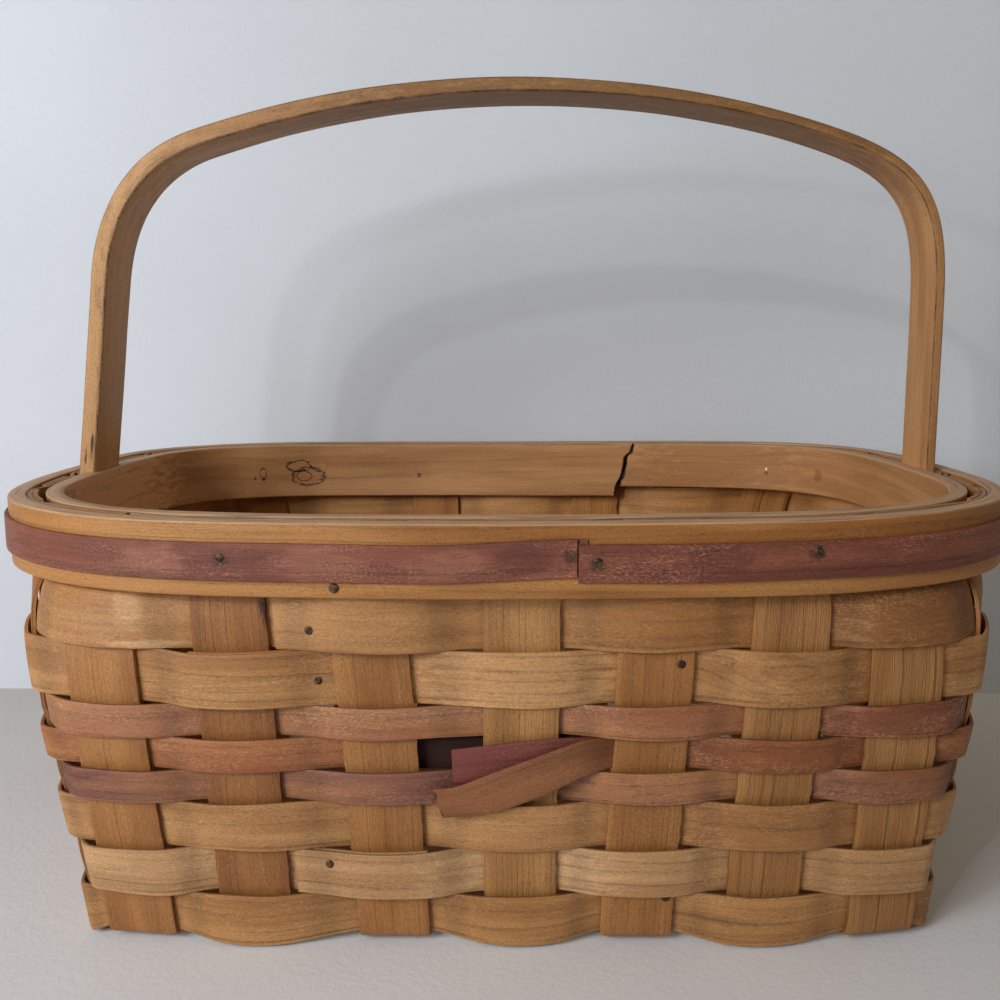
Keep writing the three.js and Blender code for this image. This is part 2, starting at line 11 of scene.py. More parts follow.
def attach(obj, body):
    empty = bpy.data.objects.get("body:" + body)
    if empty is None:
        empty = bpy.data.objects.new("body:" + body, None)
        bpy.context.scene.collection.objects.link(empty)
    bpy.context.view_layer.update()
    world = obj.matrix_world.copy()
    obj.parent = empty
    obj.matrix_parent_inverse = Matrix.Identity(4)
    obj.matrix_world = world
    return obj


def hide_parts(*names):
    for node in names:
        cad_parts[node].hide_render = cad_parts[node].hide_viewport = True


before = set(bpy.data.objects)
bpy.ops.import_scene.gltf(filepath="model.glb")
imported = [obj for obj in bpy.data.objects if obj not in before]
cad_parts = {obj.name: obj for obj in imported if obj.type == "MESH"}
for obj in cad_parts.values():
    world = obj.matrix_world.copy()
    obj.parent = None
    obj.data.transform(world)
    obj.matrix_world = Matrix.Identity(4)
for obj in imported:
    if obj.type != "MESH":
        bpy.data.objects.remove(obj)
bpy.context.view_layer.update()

scene = bpy.context.scene
MM = 0.001

# Sizes of the basket in millimetres, as the solids have them.
FIT = 0.3
UPRIGHT_WIDTH, UPRIGHT_THICKNESS = 25.4, 1.6
BEND_RADIUS = 2.0
ACROSS_COUNT, ALONG_COUNT = 7, 5
DRIFT_BASE = [2, 0, 4.5, 4.3, 1.9, 1.2, 1.5]
DRIFT_FRONT_RIM = [-2, -0.7, 0, 5.4, 5.4, 4.2, -0.7]
DRIFT_BACK_RIM = [0, 3, 5, 5, 4.5, 5, 6]
ROW_HEIGHTS = [18.05, 18.05, 10.9, 10.9, 10.9, 16.1, 16.1, 17.6]
WEAVER_FOOT = 0.8
BASE_HALF_LENGTH, BASE_HALF_WIDTH, BASE_SQUARENESS = 141.0, 105.0, 16.0
RIM_HALF_LENGTH, RIM_HALF_WIDTH, RIM_SQUARENESS = 171.0, 110.4, 3.5
FLARE_POWER = 1.5
END_RISE = 1.4
BAND_HEIGHT = 23.0
BAND_SIDE_THICKNESS, BAND_END_THICKNESS = 5.6, 6.0
BAND_FOOT = WEAVER_FOOT + sum(ROW_HEIGHTS)
RIM_TOP = BAND_FOOT + BAND_HEIGHT
ACROSS_PITCH_BASE = (BASE_HALF_LENGTH - 7.1 - UPRIGHT_WIDTH / 2) / 3
ACROSS_PITCH_RIM = (RIM_HALF_LENGTH - 31.7 - UPRIGHT_WIDTH / 2) / 3
CORNER_PITCH_BASE, CORNER_PITCH_RIM = 31.0, 45.0
BAND_OFFSET, LAP_OFFSET = 2.7, 1.6
LOW_LEVEL, HIGH_LEVEL = 0.8, 2.7
INSIDE_FOOT = 4.4

# Uprights are counted rightward round the wall, from the front left one.
UPRIGHT_TOTAL = 24
FIRST_BACK = ACROSS_COUNT + ALONG_COUNT
FIRST_LEFT = FIRST_BACK + ACROSS_COUNT

# Every strip has wood of its own: its seed counts these steps in millimetres, along the grain
# and, for each kind of strip, across it. A weaver's grain has a set length per upright.
SEED_ALONG, UPRIGHT_SEED_ACROSS, WEAVER_SEED_ACROSS, BAND_SEED_ACROSS = 900, 37, 53, 41
GRAIN_PER_UPRIGHT = 42
FIRST_WEAVER_SEED = 20
OUTER_SEED, INNER_SEED, ACCENT_SEED = 41, 42, 43

# How finely the strips are drawn: stations of an upright on a wall and in a bend, the gaps in
# millimetres between those in the base and those of a band, and a weaver's stations per upright.
WALL_STATIONS, BEND_STATIONS = 46, 6
BASE_GAP, BAND_GAP = 3.5, 3.2
WEAVER_STATIONS = 15


def mix(a, b, share):
    return a + (b - a) * share


def smooth(low, high, value):
    share = min(max((value - low) / (high - low), 0.0), 1.0)
    return share * share * (3 - 2 * share)


def wander(*place):
    """A gentle wandering between -1 and 1, the same on every run."""
    return noise.noise(Vector((*place, 0.0, 0.0)[:3])) * 1.6


def evenly(start, end, gap):
    count = round(abs(end - start) / gap)
    return [mix(start, end, i / count) for i in range(count + 1)]


def add_object(name, data):
    thing = bpy.data.objects.new(name, data)
    scene.collection.objects.link(thing)
    return thing


def lengths_after(moves):
    """How far a path has gone before its first move and after each one."""
    return [0.0, *accumulate(move.length for move in moves)]


# The wall


@lru_cache(maxsize=None)
def wall_ring(step):
    """The wall's middle line at a height in quarter millimetres, rightward from the front centre."""
    flare = min(max(step / 4 / BAND_FOOT, 0.0), 1.0)
    half_length = mix(BASE_HALF_LENGTH, RIM_HALF_LENGTH, flare**FLARE_POWER)
    half_width = mix(BASE_HALF_WIDTH, RIM_HALF_WIDTH, flare)
    squareness = mix(BASE_SQUARENESS, RIM_SQUARENESS, flare**FLARE_POWER)
    turn = np.linspace(-pi / 2, 3 * pi / 2, 1441)
    across, deep = np.abs(np.cos(turn)) / half_length, np.abs(np.sin(turn)) / half_width
    reach = (across**squareness + deep**squareness) ** (-1 / squareness)
    x, y = np.cos(turn) * reach, np.sin(turn) * reach
    length = np.concatenate(([0], np.cumsum(np.hypot(np.diff(x), np.diff(y)))))
    tx, ty = np.gradient(x, length), np.gradient(y, length)
    size = np.hypot(tx, ty)
    return x, y, length, ty / size, -tx / size, (half_length, half_width, squareness)


def ring_step(z):
    return min(max(round(z * 4), 0), round(BAND_FOOT * 4))


def on_wall(length, z):
    """Point and outward direction of the wall's middle line at a height."""
    x, y, lengths, nx, ny, _ = wall_ring(ring_step(z))
    at = length % lengths[-1]
    return [float(np.interp(at, lengths, values)) for values in (x, y, nx, ny)]


def length_at_x(x, z, back):
    _, _, lengths, _, _, (half_length, half_width, squareness) = wall_ring(ring_step(z))
    y = half_width * (1 - abs(x / half_length) ** squareness) ** (1 / squareness)
    turn = atan2(y if back else -y, x) + pi / 2
    place = abs(turn) / (2 * pi) * 1440
    length = float(np.interp(place, np.arange(1441), lengths))
    return length if turn >= 0 else -length


@lru_cache(maxsize=None)
def upright_length(index, step):
    """Length along the wall to the middle of an upright, counted rightward round."""
    z = step / 4
    total = wall_ring(step)[2][-1]
    laps, index = divmod(index, UPRIGHT_TOTAL)
    flare = min(max(z / BAND_FOOT, 0.0), 1.0)
    pitch = mix(ACROSS_PITCH_BASE, ACROSS_PITCH_RIM, flare)

    def across(column, back):
        drift = mix(DRIFT_BASE[column], (DRIFT_BACK_RIM if back else DRIFT_FRONT_RIM)[column], flare)
        return length_at_x((column - 3) * pitch + drift, z, back)

    if index < ACROSS_COUNT:
        length = across(index, False)
    elif FIRST_BACK <= index < FIRST_LEFT:
        length = across(FIRST_LEFT - 1 - index, True)
    else:
        on_right = index < FIRST_BACK
        before = across(6, False) if on_right else across(0, True)
        after = across(6, True) if on_right else across(0, False) + total
        first = ACROSS_COUNT if on_right else FIRST_LEFT
        corner = mix(CORNER_PITCH_BASE, CORNER_PITCH_RIM, flare)
        length = mix(before + corner, after - corner, (index - first) / (ALONG_COUNT - 1))
    return length + laps * total


@lru_cache(maxsize=None)
def upright_chord(index, step):
    """The flat cross-section of an upright: its edges and outward direction in plan."""
    z = step / 4
    middle = upright_length(index, step)
    start = Vector(on_wall(middle - UPRIGHT_WIDTH / 2, z)[:2])
    end = Vector(on_wall(middle + UPRIGHT_WIDTH / 2, z)[:2])
    run = (end - start).normalized()
    return start, end, Vector((run.y, -run.x))


def lifted(x, z):
    return z + END_RISE * (x / RIM_HALF_LENGTH) ** 2 * (z / RIM_TOP)


def off_wall(length, z, offset, section=0.0):
    """A point at a distance outside the wall's middle line, at its height or a higher section's."""
    x, y, nx, ny = on_wall(length, max(z, section))
    px, py = x + nx * offset, y + ny * offset
    return Vector((px, py, lifted(px, z)))


# Strips of wood


def grain_at(along, across, depth, seed, seed_across):
    """A place in the grain of a strip, in millimetres."""
    return along + seed * SEED_ALONG, across + seed * seed_across, depth


def sweep(name, stations, ring, place):
    """A strip of wood: a ring of section points carried along its stations. For a station
    and a section point, place gives the point, its place in the grain and its lie."""
    shape = bmesh.new()
    around, along = len(ring), len(stations) - 1
    bmesh.ops.create_grid(shape, x_segments=around, y_segments=along, size=1)
    grain = shape.verts.layers.float_vector.new("grain")
    lie = shape.verts.layers.float_vector.new("lie")
    for vert in shape.verts:
        column = round((vert.co.x + 1) / 2 * around) % around
        line = round((vert.co.y + 1) / 2 * along)
        point, in_grain, lies = place(stations[line], ring[column])
        vert.co = point * MM
        vert[grain] = Vector(in_grain) * MM
        vert[lie] = Vector(lies)
    bmesh.ops.remove_doubles(shape, verts=shape.verts[:], dist=1e-6)
    bmesh.ops.holes_fill(shape, edges=[edge for edge in shape.edges if edge.is_boundary], sides=0)
    bmesh.ops.recalc_face_normals(shape, faces=shape.faces[:])
    return into_piece(name, shape)


def into_piece(name, shape):
    mesh = bpy.data.meshes.new(name)
    shape.to_mesh(mesh)
    shape.free()
    mesh.polygons.foreach_set("use_smooth", [True] * len(mesh.polygons))
    mesh.set_sharp_from_angle(angle=radians(38))
    return add_object(name, mesh)


def dress(piece, finish, slot, *nodes):
    """Gives a piece its finish and body, and hides the node of the solids that it replaces. The slot is
    not used.
    """
    piece.data.materials.append(finish)
    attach(piece, "root")
    if nodes:
        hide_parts(*nodes)


def splint_ring(half, eased=0.256):
    """Section of a splint as (share of its width, depth), with the edges of its outer face eased."""
    shares = (0.0, 0.04, 0.14, 0.3, 0.5, 0.7, 0.86, 0.96, 1.0)
    outer = [(share, half - (eased if share in (0.0, 1.0) else 0)) for share in shares]
    return outer + [(share, -half) for share in (1.0, 0.93, 0.66, 0.34, 0.07, 0.0)]


# Finishes


def colour(red, green, blue):
    """A colour as it looks on a screen, from 0 to 255."""
    def linear(value):
        value /= 255
        return value / 12.92 if value <= 0.04045 else ((value + 0.055) / 1.055) ** 2.4

    return (linear(red), linear(green), linear(blue), 1.0)


class Finish:
    """The nodes of one finish, with short names for the ones that it needs."""

    def __init__(self, name):
        self.material = bpy.data.materials.new(name)
        self.material.use_nodes = True
        self.nodes = self.material.node_tree.nodes
        self.links = self.material.node_tree.links
        self.shader = self.nodes["Principled BSDF"]

    def feed(self, socket, value):
        if isinstance(value, bpy.types.NodeSocket):
            self.links.new(value, socket)
        else:
            socket.default_value = value

    def node(self, kind, inputs=(), **settings):
        """A new node with its settings, and with what feeds its inputs by name or number."""
        node = self.nodes.new("ShaderNode" + kind)
        for name, value in settings.items():
            setattr(node, name, value)
        for socket, value in dict(inputs).items():
            self.feed(node.inputs[socket], value)
        return node

    def attribute(self, name):
        return self.node("Attribute", attribute_name=name).outputs["Vector"]

    def place(self):
        return self.node("TexCoord").outputs["Object"]

    def parts(self, vector):
        return self.node("SeparateXYZ", {0: vector}).outputs

    def stretched(self, vector, scale, shift):
        inputs = {"Vector": vector, "Scale": scale, "Location": shift}
        return self.node("Mapping", inputs).outputs["Vector"]

    def cloud(self, vector, along, across, detail=2.0, roughness=0.5, shift=(0, 0, 0)):
        """Noise with a scale along the first axis and another across it."""
        scaled = self.stretched(vector, (along, across, across), shift)
        inputs = {"Vector": scaled, "Scale": 1.0, "Detail": detail, "Roughness": roughness}
        return self.node("TexNoise", inputs).outputs["Fac"]

    def math(self, kind, *values):
        return self.node("Math", enumerate(values), operation=kind).outputs[0]

    def times(self, first, second, base=0.0):
        """The product of two values, added to a base."""
        return self.math("MULTIPLY_ADD", first, second, base)

    def step(self, value, low, high, start=0.0, end=1.0):
        """A smooth change from start to end while a value goes from low to high."""
        inputs = {"Value": value, "From Min": low, "From Max": high, "To Min": start, "To Max": end}
        return self.node("MapRange", inputs, interpolation_type="SMOOTHSTEP").outputs["Result"]

    def blend(self, share, first, second, kind="MIX"):
        inputs = {"Factor": share, 6: first, 7: second}
        return self.node("Mix", inputs, data_type="RGBA", blend_type=kind).outputs[2]

    def near(self, vector, spot, radius):
        """One at a spot of the surface, falling to nothing at a radius from it."""
        scale, shift = zip(*((1 / reach, -at / reach) for at, reach in zip(spot, radius)))
        inputs = {0: self.stretched(vector, scale, shift)}
        distance = self.node("VectorMath", inputs, operation="LENGTH").outputs["Value"]
        return self.step(distance, 0.0, 1.0, 1.0, 0.0)

    def each(self, number):
        """A value between 0.2 and 1 that differs from one whole number to the next."""
        value = self.node("TexWhiteNoise", {"W": number}, noise_dimensions="1D").outputs["Value"]
        return self.step(value, 0.0, 1.0, 0.2, 1.0)

    def grey(self, value):
        return self.node("CombineColor", {0: value, 1: value, 2: value}).outputs[0]

    def coat(self, tone, roughness):
        self.feed(self.shader.inputs["Base Color"], tone)
        self.feed(self.shader.inputs["Roughness"], roughness)

    def relief(self, height, depth, strength=1.0):
        bump = self.node("Bump", {"Height": height, "Distance": depth, "Strength": strength})
        self.feed(self.shader.inputs["Normal"], bump.outputs["Normal"])


def wood(name, pale, deep, rings=260, figure=2.0, line=0.34, fibre=0.12, streak=0.2, speckle=0.0,
         speckle_tone=(222, 180, 132), wash=None, shine=0.52, depth=0.00016, grit=1.15, inside=None,
         dives=False, painted_shade_low_inside=False, bent=False, weathered=None, marks=()):
    """Split wood. The grain runs along each strip, with thin growth lines and a fine pale speckle,
    partly pale grit and partly painted glints of the pores.

    A wash is a second tone that shows through a stain in patches. Inside gives two depths and
    the brightness at each, which paints light or shade on one face. A strip that dives has painted
    shade between two uprights, where it crosses over, and is worn along its lower edge. Low down
    inside the basket, a strip can be given painted shade on its inner face. A bent one has a dark
    line along one corner and painted light on its inside. Weathered is the tone of a rough top
    edge. Marks come from the function mark, and those without a tone are the dark outlines of
    knots."""
    finish = Finish(name)
    step, times, math, blend = finish.step, finish.times, finish.math, finish.blend
    grain = finish.attribute("grain")
    cloud, near = partial(finish.cloud, grain), partial(finish.near, grain)
    _, across, deeper = finish.parts(grain)
    along_strip, share, side = finish.parts(finish.attribute("lie"))

    tone = blend(step(cloud(9, 75, 3.0, 0.6), 0.33, 0.67), colour(*deep), colour(*pale))
    if wash:
        patches = cloud(14, 60, 4.0, 0.62, (3, 1, 0))
        tone = blend(step(patches, 0.42, 0.68), tone, colour(*wash))
    ragged = step(cloud(110, 420, 3.0, 0.65, (0, 0, 9)), 0.3, 0.7, 0.45, 1.4)
    for spot, radius, mark_tone, amount, _ in marks:
        if mark_tone:
            spread = times(near(spot, radius), ragged)
            tone = blend(times(step(spread, 0.15, 0.7), amount), tone, colour(*mark_tone))

    bending = cloud(6, 26, 1.5, 0.45)
    phase = times(bending, figure, times(across, rings))
    phase = times(cloud(1.5, 170, 1.0, shift=(0, 7, 0)), 1.3, phase)
    phase = times(deeper, rings, phase)
    for spot, radius, _, _, swirl in marks:
        if swirl:
            phase = times(near(spot, radius), swirl, phase)
    within = math("FRACT", phase)
    growth = times(step(within, 0.66, 0.95), step(within, 0.95, 1.0, 1.0, 0.0))
    growth = times(growth, finish.each(math("FLOOR", phase)))
    growth = times(growth, step(cloud(12, 90, shift=(5, 0, 0)), 0.3, 0.6, 0.25, 1.0))

    fibres = cloud(110, 2100, 3.0, 0.6)
    streaks = cloud(11, 330, 3.0, 0.6, (1, 4, 0))
    sand = cloud(1300, 2300, 2.0, 0.7, (1, 1, 1))
    flecks = step(cloud(330, 1900, 1.0, shift=(2, 2, 2)), 0.66, 0.75)
    shade = times(growth, -line, 1.0)
    shade = math("ADD", shade, times(fibres, fibre * 2, -fibre))
    shade = times(step(streaks, 0.48, 0.72), -streak, shade)
    shade = math("ADD", shade, times(sand, grit, -grit / 2))
    for spot, radius, mark_tone, _, _ in marks:
        if not mark_tone:
            spread = times(near(spot, radius), ragged)
            outline = times(step(spread, 0.17, 0.25), step(spread, 0.32, 0.42, 1.0, 0.0))
            shade = times(outline, -0.75, shade)
    shade = times(flecks, -0.28 * grit, shade)
    if dives:
        # Painted shade where the strip crosses over between two uprights; the lower edge below is real
        # wear.
        shade = times(shade, step(math("ABSOLUTE", side), 0.1, 0.5, 0.8, 1.0))
        here = step(cloud(14, 30, 1.0, shift=(8, 0, 0)), 0.42, 0.56)
        edge = math("ADD", share, times(bending, 0.12, -0.05))
        ledge = times(step(edge, 0.07, 0.1), step(edge, 0.1, 0.16, 1.0, 0.0))
        shade = times(times(ledge, here), -0.24, shade)
        worn = times(step(edge, 0.03, 0.09, 1.0, 0.0), here)
        shade = times(times(worn, sand), 0.35, shade)
    if inside:
        # Painted light or shade: one face of the strip brighter or darker than the other.
        shade = times(shade, step(deeper, *inside))
    if painted_shade_low_inside:
        # Painted shade: the inner face is darker low down inside the basket, near the base.
        from_middle = math("ABSOLUTE", math("SUBTRACT", along_strip, 0.5))
        outer_face = step(deeper, -0.0004, 0.0003)
        shade = times(shade, math("MAXIMUM", step(from_middle, 0.34, 0.42, 0.5, 1.0), outer_face))
    if bent:
        # A dark line along one corner, then painted light that makes the inner face paler.
        corner = times(step(side, 0.82, 0.87), step(side, 0.96, 0.998, 1.0, 0.0))
        shade = times(times(corner, ragged), -0.55, shade)
        shade = times(shade, step(side, 0.97, 1.0, 1.0, 1.28))

    tone = blend(1.0, tone, finish.grey(shade), "MULTIPLY")
    if weathered:
        grooves = step(cloud(22, 800, 3.0, 0.6, (0, 5, 0)), 0.5, 0.62, 1.1, 0.6)
        rough_top = blend(1.0, colour(*weathered), finish.grey(grooves), "MULTIPLY")
        tone = blend(step(share, 0.965, 0.99, 0.0, 0.9), tone, rough_top)
    if speckle:
        # Pale specks in clusters: partly pale grit, partly painted glints of the pores.
        clusters = step(cloud(34, 130, 3.0, 0.6, (0, 2, 0)), 0.4, 0.66, 0.12, 1.0)
        grit_and_pore_glints = step(cloud(1000, 2500, 2.0, 0.7, (6, 0, 0)), 0.46, 0.72)
        tone = blend(times(times(clusters, grit_and_pore_glints), speckle), tone, colour(*speckle_tone))
    finish.coat(tone, step(fibres, 0.3, 0.7, shine, shine + 0.16))
    height = times(growth, -0.5, times(fibres, 1.1))
    finish.relief(times(cloud(1200, 2000, 2.0, 0.7), 0.7, height), depth)
    return finish.material


def nail_metal():
    finish = Finish("nail metal")
    spots = finish.cloud(finish.place(), 900, 900, 3.0, 0.6)
    tone = finish.blend(finish.step(spots, 0.4, 0.62), colour(52, 38, 26), colour(104, 82, 54))
    finish.coat(tone, finish.step(spots, 0.3, 0.7, 0.42, 0.62))
    finish.shader.inputs["Metallic"].default_value = 0.55
    finish.relief(spots, 0.00015)
    return finish.material


# Uprights


def base_middle(index):
    """The middle of an upright in plan, where it meets the base."""
    start, end, _ = upright_chord(index, 0)
    return (start.x + end.x) / 2, (start.y + end.y) / 2


# In the base: where the uprights from front to back run, where those from end to end do, and
# how far each side of its middle a strip keeps the others at their level.
COLUMN_X = [base_middle(column)[0] for column in range(ACROSS_COUNT)]
STRIP_Y = [base_middle(ACROSS_COUNT + strip)[1] for strip in range(ALONG_COUNT)]
CROSSING_HALF = 13.0
# The edges between the rows of the wall, from the top down.
EDGES = [BAND_FOOT - sum(ROW_HEIGHTS[:count]) for count in range(len(ROW_HEIGHTS) + 1)]


def row_at(z):
    return min(sum(z <= height for height in EDGES), len(ROW_HEIGHTS))


def outside(row, index):
    return (row + index) % 2 == 1


def upright_bow(index, z):
    """An upright bows out where a weaver passes behind it, and in where one covers it."""
    row = row_at(z)
    if row == 0:
        return 0.0
    high, low = EDGES[row - 1], EDGES[row]
    swell = sin(pi * (z - low) / (high - low)) ** 2
    return 0.38 * swell * (-1 if outside(row, index) else 1)


def clamped(z):
    """How fully an upright takes the curve of the bands, near its top."""
    return smooth(BAND_FOOT - 10, BAND_FOOT, z)


def wall_frames(index, level, going_up):
    """The stations of an upright on one wall, from its top to the end of its bend, or back."""
    frames = []
    bend_top = level + BEND_RADIUS
    top = RIM_TOP - 0.15 - 0.7 * abs(wander(index * 3.7, 1.0))
    for z in np.linspace(top, bend_top, WALL_STATIONS):
        start, end, out = upright_chord(index, ring_step(z))
        bow = upright_bow(index, z)
        lean = 0.35 * wander(index * 2.3, z * 0.04)
        side = (end - start).normalized() * lean
        edges = [edge + side + out * bow for edge in (start, end)]
        points = [Vector((edge.x, edge.y, lifted(edge.x, z))) for edge in edges]
        middle = Vector(on_wall(upright_length(index, ring_step(z)), z)[:2])
        sag = (middle - start).dot(out) * clamped(z)
        frames.append((*points, Vector((*out, 0.0)), sag))
    start, end, out = upright_chord(index, ring_step(bend_top))
    for step in range(1, BEND_STATIONS + 1):
        turn = pi / 2 * step / BEND_STATIONS
        inward = BEND_RADIUS * (1 - cos(turn))
        z = bend_top - BEND_RADIUS * sin(turn)
        points = [Vector((*(edge - out * inward), z)) for edge in (start, end)]
        normal = Vector((out.x * cos(turn), out.y * cos(turn), -sin(turn)))
        frames.append((*points, normal, 0.0))
    if going_up:
        return [(end, start, normal, sag) for start, end, normal, sag in reversed(frames)]
    return frames


def base_level(crossed, levels, place, travel):
    """Height of an upright's middle in the base, where it goes over and under the others."""
    level = levels[0]
    for order in range(len(crossed) - 1):
        low = crossed[order] + travel * CROSSING_HALF
        high = crossed[order + 1] - travel * CROSSING_HALF
        level = mix(level, levels[order + 1], smooth(0, 1, (place - low) / (high - low)))
    return level


def upright_frames(runs_across, place):
    """The stations of a whole upright: its two edges, its outward direction and its sag."""
    middle = COLUMN_X[place] if runs_across else STRIP_Y[place]
    crossed = STRIP_Y if runs_across else COLUMN_X[::-1]
    travel = 1 if runs_across else -1
    levels = []
    for order in range(len(crossed)):
        column, strip = (place, order) if runs_across else (ACROSS_COUNT - 1 - order, place)
        column_is_high = (column + strip) % 2 == 0
        levels.append(HIGH_LEVEL if column_is_high == runs_across else LOW_LEVEL)
    down = place if runs_across else ACROSS_COUNT + place
    up = FIRST_LEFT - 1 - place if runs_across else UPRIGHT_TOTAL - 1 - place
    frames = wall_frames(down, levels[0], False)
    first, last = crossed[0] - travel * CROSSING_HALF, crossed[-1] + travel * CROSSING_HALF
    half = UPRIGHT_WIDTH / 2
    for run in np.linspace(first, last, round(abs(last - first) / BASE_GAP)):
        z = base_level(crossed, levels, run, travel)
        edges = [(edge, run) if runs_across else (run, edge) for edge in (middle - half, middle + half)]
        frames.append((*(Vector((*edge, z)) for edge in edges), Vector((0, 0, -1)), 0.0))
    return frames + wall_frames(up, levels[-1], True)


def upright(name, frames, seed, kind):
    lengths = lengths_after((after[0] + after[1] - before[0] - before[1]) / 2
                            for before, after in zip(frames, frames[1:]))
    total = lengths[-1]

    def place(station, spot):
        share, depth = spot
        first, second, normal, sag = frames[station]
        along = lengths[station]
        frayed = 0.12 * wander(along * 0.35, seed, share)
        narrowed = mix(0.88, 0.94, abs(2 * along / total - 1))
        at = first.lerp(second, 0.5 + (share - 0.5) * (narrowed + frayed / UPRIGHT_WIDTH * 4))
        point = at + normal * (depth + sag * 4 * share * (1 - share))
        grain = grain_at(along, share * UPRIGHT_WIDTH, depth, seed, UPRIGHT_SEED_ACROSS)
        return point, grain, (along / total, share, 0.0)

    piece = sweep(name, range(len(frames)), splint_ring(0.74), place)
    dress(piece, finishes[kind], "upright_wood", name)


# Weavers

STAINS = {3: "weaver_rose", 4: "weaver_orange", 5: "weaver_purple"}
# How far a weaver's middle swings to each side of the wall, and the one between the bands.
SWING_OUT, SWING_IN, HIDDEN_SWING = 2.95, 2.5, 1.75


def row_middle(row):
    return (EDGES[row - 1] + EDGES[row]) / 2 if row else RIM_TOP


def swing(row, turn):
    """From 1 outside an upright to -1 behind the next one. A weaver crowns a little over
    the width of an upright, except between the bands, and crosses over in the gap."""
    index = floor(turn)
    step = ring_step(row_middle(row))
    edge = UPRIGHT_WIDTH / 2 / (upright_length(index + 1, step) - upright_length(index, step))
    hold = 0.62 if row else 1.0
    share = turn - index
    if share <= edge:
        value = 1 - (1 - hold) * (share / edge) ** 2
    elif share >= 1 - edge:
        value = (1 - hold) * ((1 - share) / edge) ** 2 - 1
    else:
        t = (share - edge) / (1 - 2 * edge)
        slope = -2 * (1 - hold) / edge * (1 - 2 * edge)
        value = hold * (1 - 6 * t * t + 4 * t**3) + slope * (t - 3 * t * t + 2 * t**3)
    return value if outside(row, index) else -value


def edge_wave(edge, turn):
    if edge in (0, len(ROW_HEIGHTS)):
        return 0.0
    angle = turn / UPRIGHT_TOTAL * 2 * pi
    return 0.42 * wander(cos(angle) * 7.0, sin(angle) * 7.0, edge * 9.3)


def weaver_span(row, turn, share):
    """Height of a weaver at a share of its width."""
    if row == 0:
        return mix(BAND_FOOT + FIT / 2, RIM_TOP - FIT, share)
    high = EDGES[row - 1] - FIT / 2 + edge_wave(row - 1, turn)
    low = EDGES[row] + FIT / 2 + edge_wave(row, turn)
    if row == len(ROW_HEIGHTS):
        side = swing(row, turn)
        low = mix(INSIDE_FOOT, WEAVER_FOOT, (side + 1) / 2)
    return mix(low, high, share)


def turn_length(turn, step):
    index = floor(turn)
    return mix(upright_length(index, step), upright_length(index + 1, step), turn - index)


def chord_sag(turn, z, length):
    """How far a flat upright lies inside the curve of the wall."""
    step = ring_step(z)
    nearest = round(turn)
    if abs(length - upright_length(nearest, step)) > UPRIGHT_WIDTH / 2:
        return 0.0
    start, _, out = upright_chord(nearest % UPRIGHT_TOTAL, step)
    x, y, _, _ = on_wall(length, z)
    return max((Vector((x, y)) - start).dot(out), 0.0) * (1 - clamped(z))


def weaver_point(row, turn, share, offset):
    z = weaver_span(row, turn, share)
    length = turn_length(turn, ring_step(z))
    return off_wall(length, z, offset - chord_sag(turn, z, length))


def weaver(name, row, stations, lift=lambda turn: 0.0, half=0.58):
    """A weaver over its stations, which count uprights. The lift raises its lapped end."""
    seed = FIRST_WEAVER_SEED + row

    def place(turn, spot):
        share, depth = spot
        side = swing(row, turn)
        reach = (SWING_OUT if side > 0 else SWING_IN) if row else HIDDEN_SWING
        crown = 0.09 * (1 - (2 * share - 1) ** 2) if row else 0.0
        point = weaver_point(row, turn, share, side * reach + LAP_OFFSET * lift(turn) + crown + depth)
        across = share * (ROW_HEIGHTS[row - 1] if row else BAND_HEIGHT)
        grain = grain_at(turn * GRAIN_PER_UPRIGHT, across, depth, seed, WEAVER_SEED_ACROSS)
        return point, grain, (turn, share, side)

    piece = sweep(name, stations, splint_ring(half), place)
    dress(piece, finishes[f"row {row}"], STAINS.get(row, "weaver_natural"), name)


def turns(start, end):
    """The stations of a weaver from one place among the uprights to another."""
    return evenly(start, end, 1 / WEAVER_STATIONS)


def turn_at(x, z):
    """Place among the front uprights, counted from the left one, at a distance x."""
    low, high = -0.6, 6.6
    for _ in range(24):
        middle = (low + high) / 2
        length = turn_length(middle, ring_step(z))
        low, high = (middle, high) if on_wall(length, z)[0] < x else (low, middle)
    return low


def lapped(row, lap, outer_end_first, end_x=None):
    """Stations and lift of a weaver whose ends overlap over one upright, the outer end either
    where the weaver starts or where it stops. That end may reach a distance x on the front."""
    end = lap + UPRIGHT_TOTAL
    z = row_middle(row)
    if outer_end_first:
        start = turn_at(end_x, z) if end_x else lap - 0.64
        return turns(start, end + 0.3), lambda turn: 1 - smooth(lap + 0.28, lap + 0.62, turn)
    stop = UPRIGHT_TOTAL + turn_at(end_x, z) if end_x else end + 0.64
    return turns(lap - 0.3, stop), lambda turn: smooth(end - 0.62, end - 0.28, turn)


# The bands of the rim


def rim_length(x, back=False):
    return length_at_x(x, RIM_TOP, back)


RIM_TOTAL = wall_ring(ring_step(RIM_TOP))[2][-1]


def band_thickness(length):
    nx = on_wall(length, BAND_FOOT)[2]
    return mix(BAND_SIDE_THICKNESS, BAND_END_THICKNESS, nx * nx)


def band_ring(height, top_round, foot_round, back_round=0.3, rows=4):
    """Section of a band as (height, side, inset): side 1 is the outer face and 0 the inner."""
    def corner(radius, side, at_top):
        """From where a face starts to round, to its edge at the top or the foot."""
        points = []
        for step in range(5):
            turn = pi / 2 * step / 4
            rise = radius * (1 - sin(turn))
            points.append((height - rise if at_top else rise, side, radius * (1 - cos(turn))))
        return points

    between = [row / rows for row in range(1, rows)]
    outer = [(mix(foot_round, height - top_round, share), 1, 0) for share in between]
    inner = [(mix(back_round, height - back_round, share), 0, 0) for share in between]
    outer = corner(foot_round, 1, False)[::-1] + outer + corner(top_round, 1, True)
    return outer + corner(back_round, 0, True)[::-1] + inner[::-1] + corner(back_round, 0, False)


def rim_wave(length, z):
    return 0.22 * wander(length * 0.021, z * 0.05, 41.0)


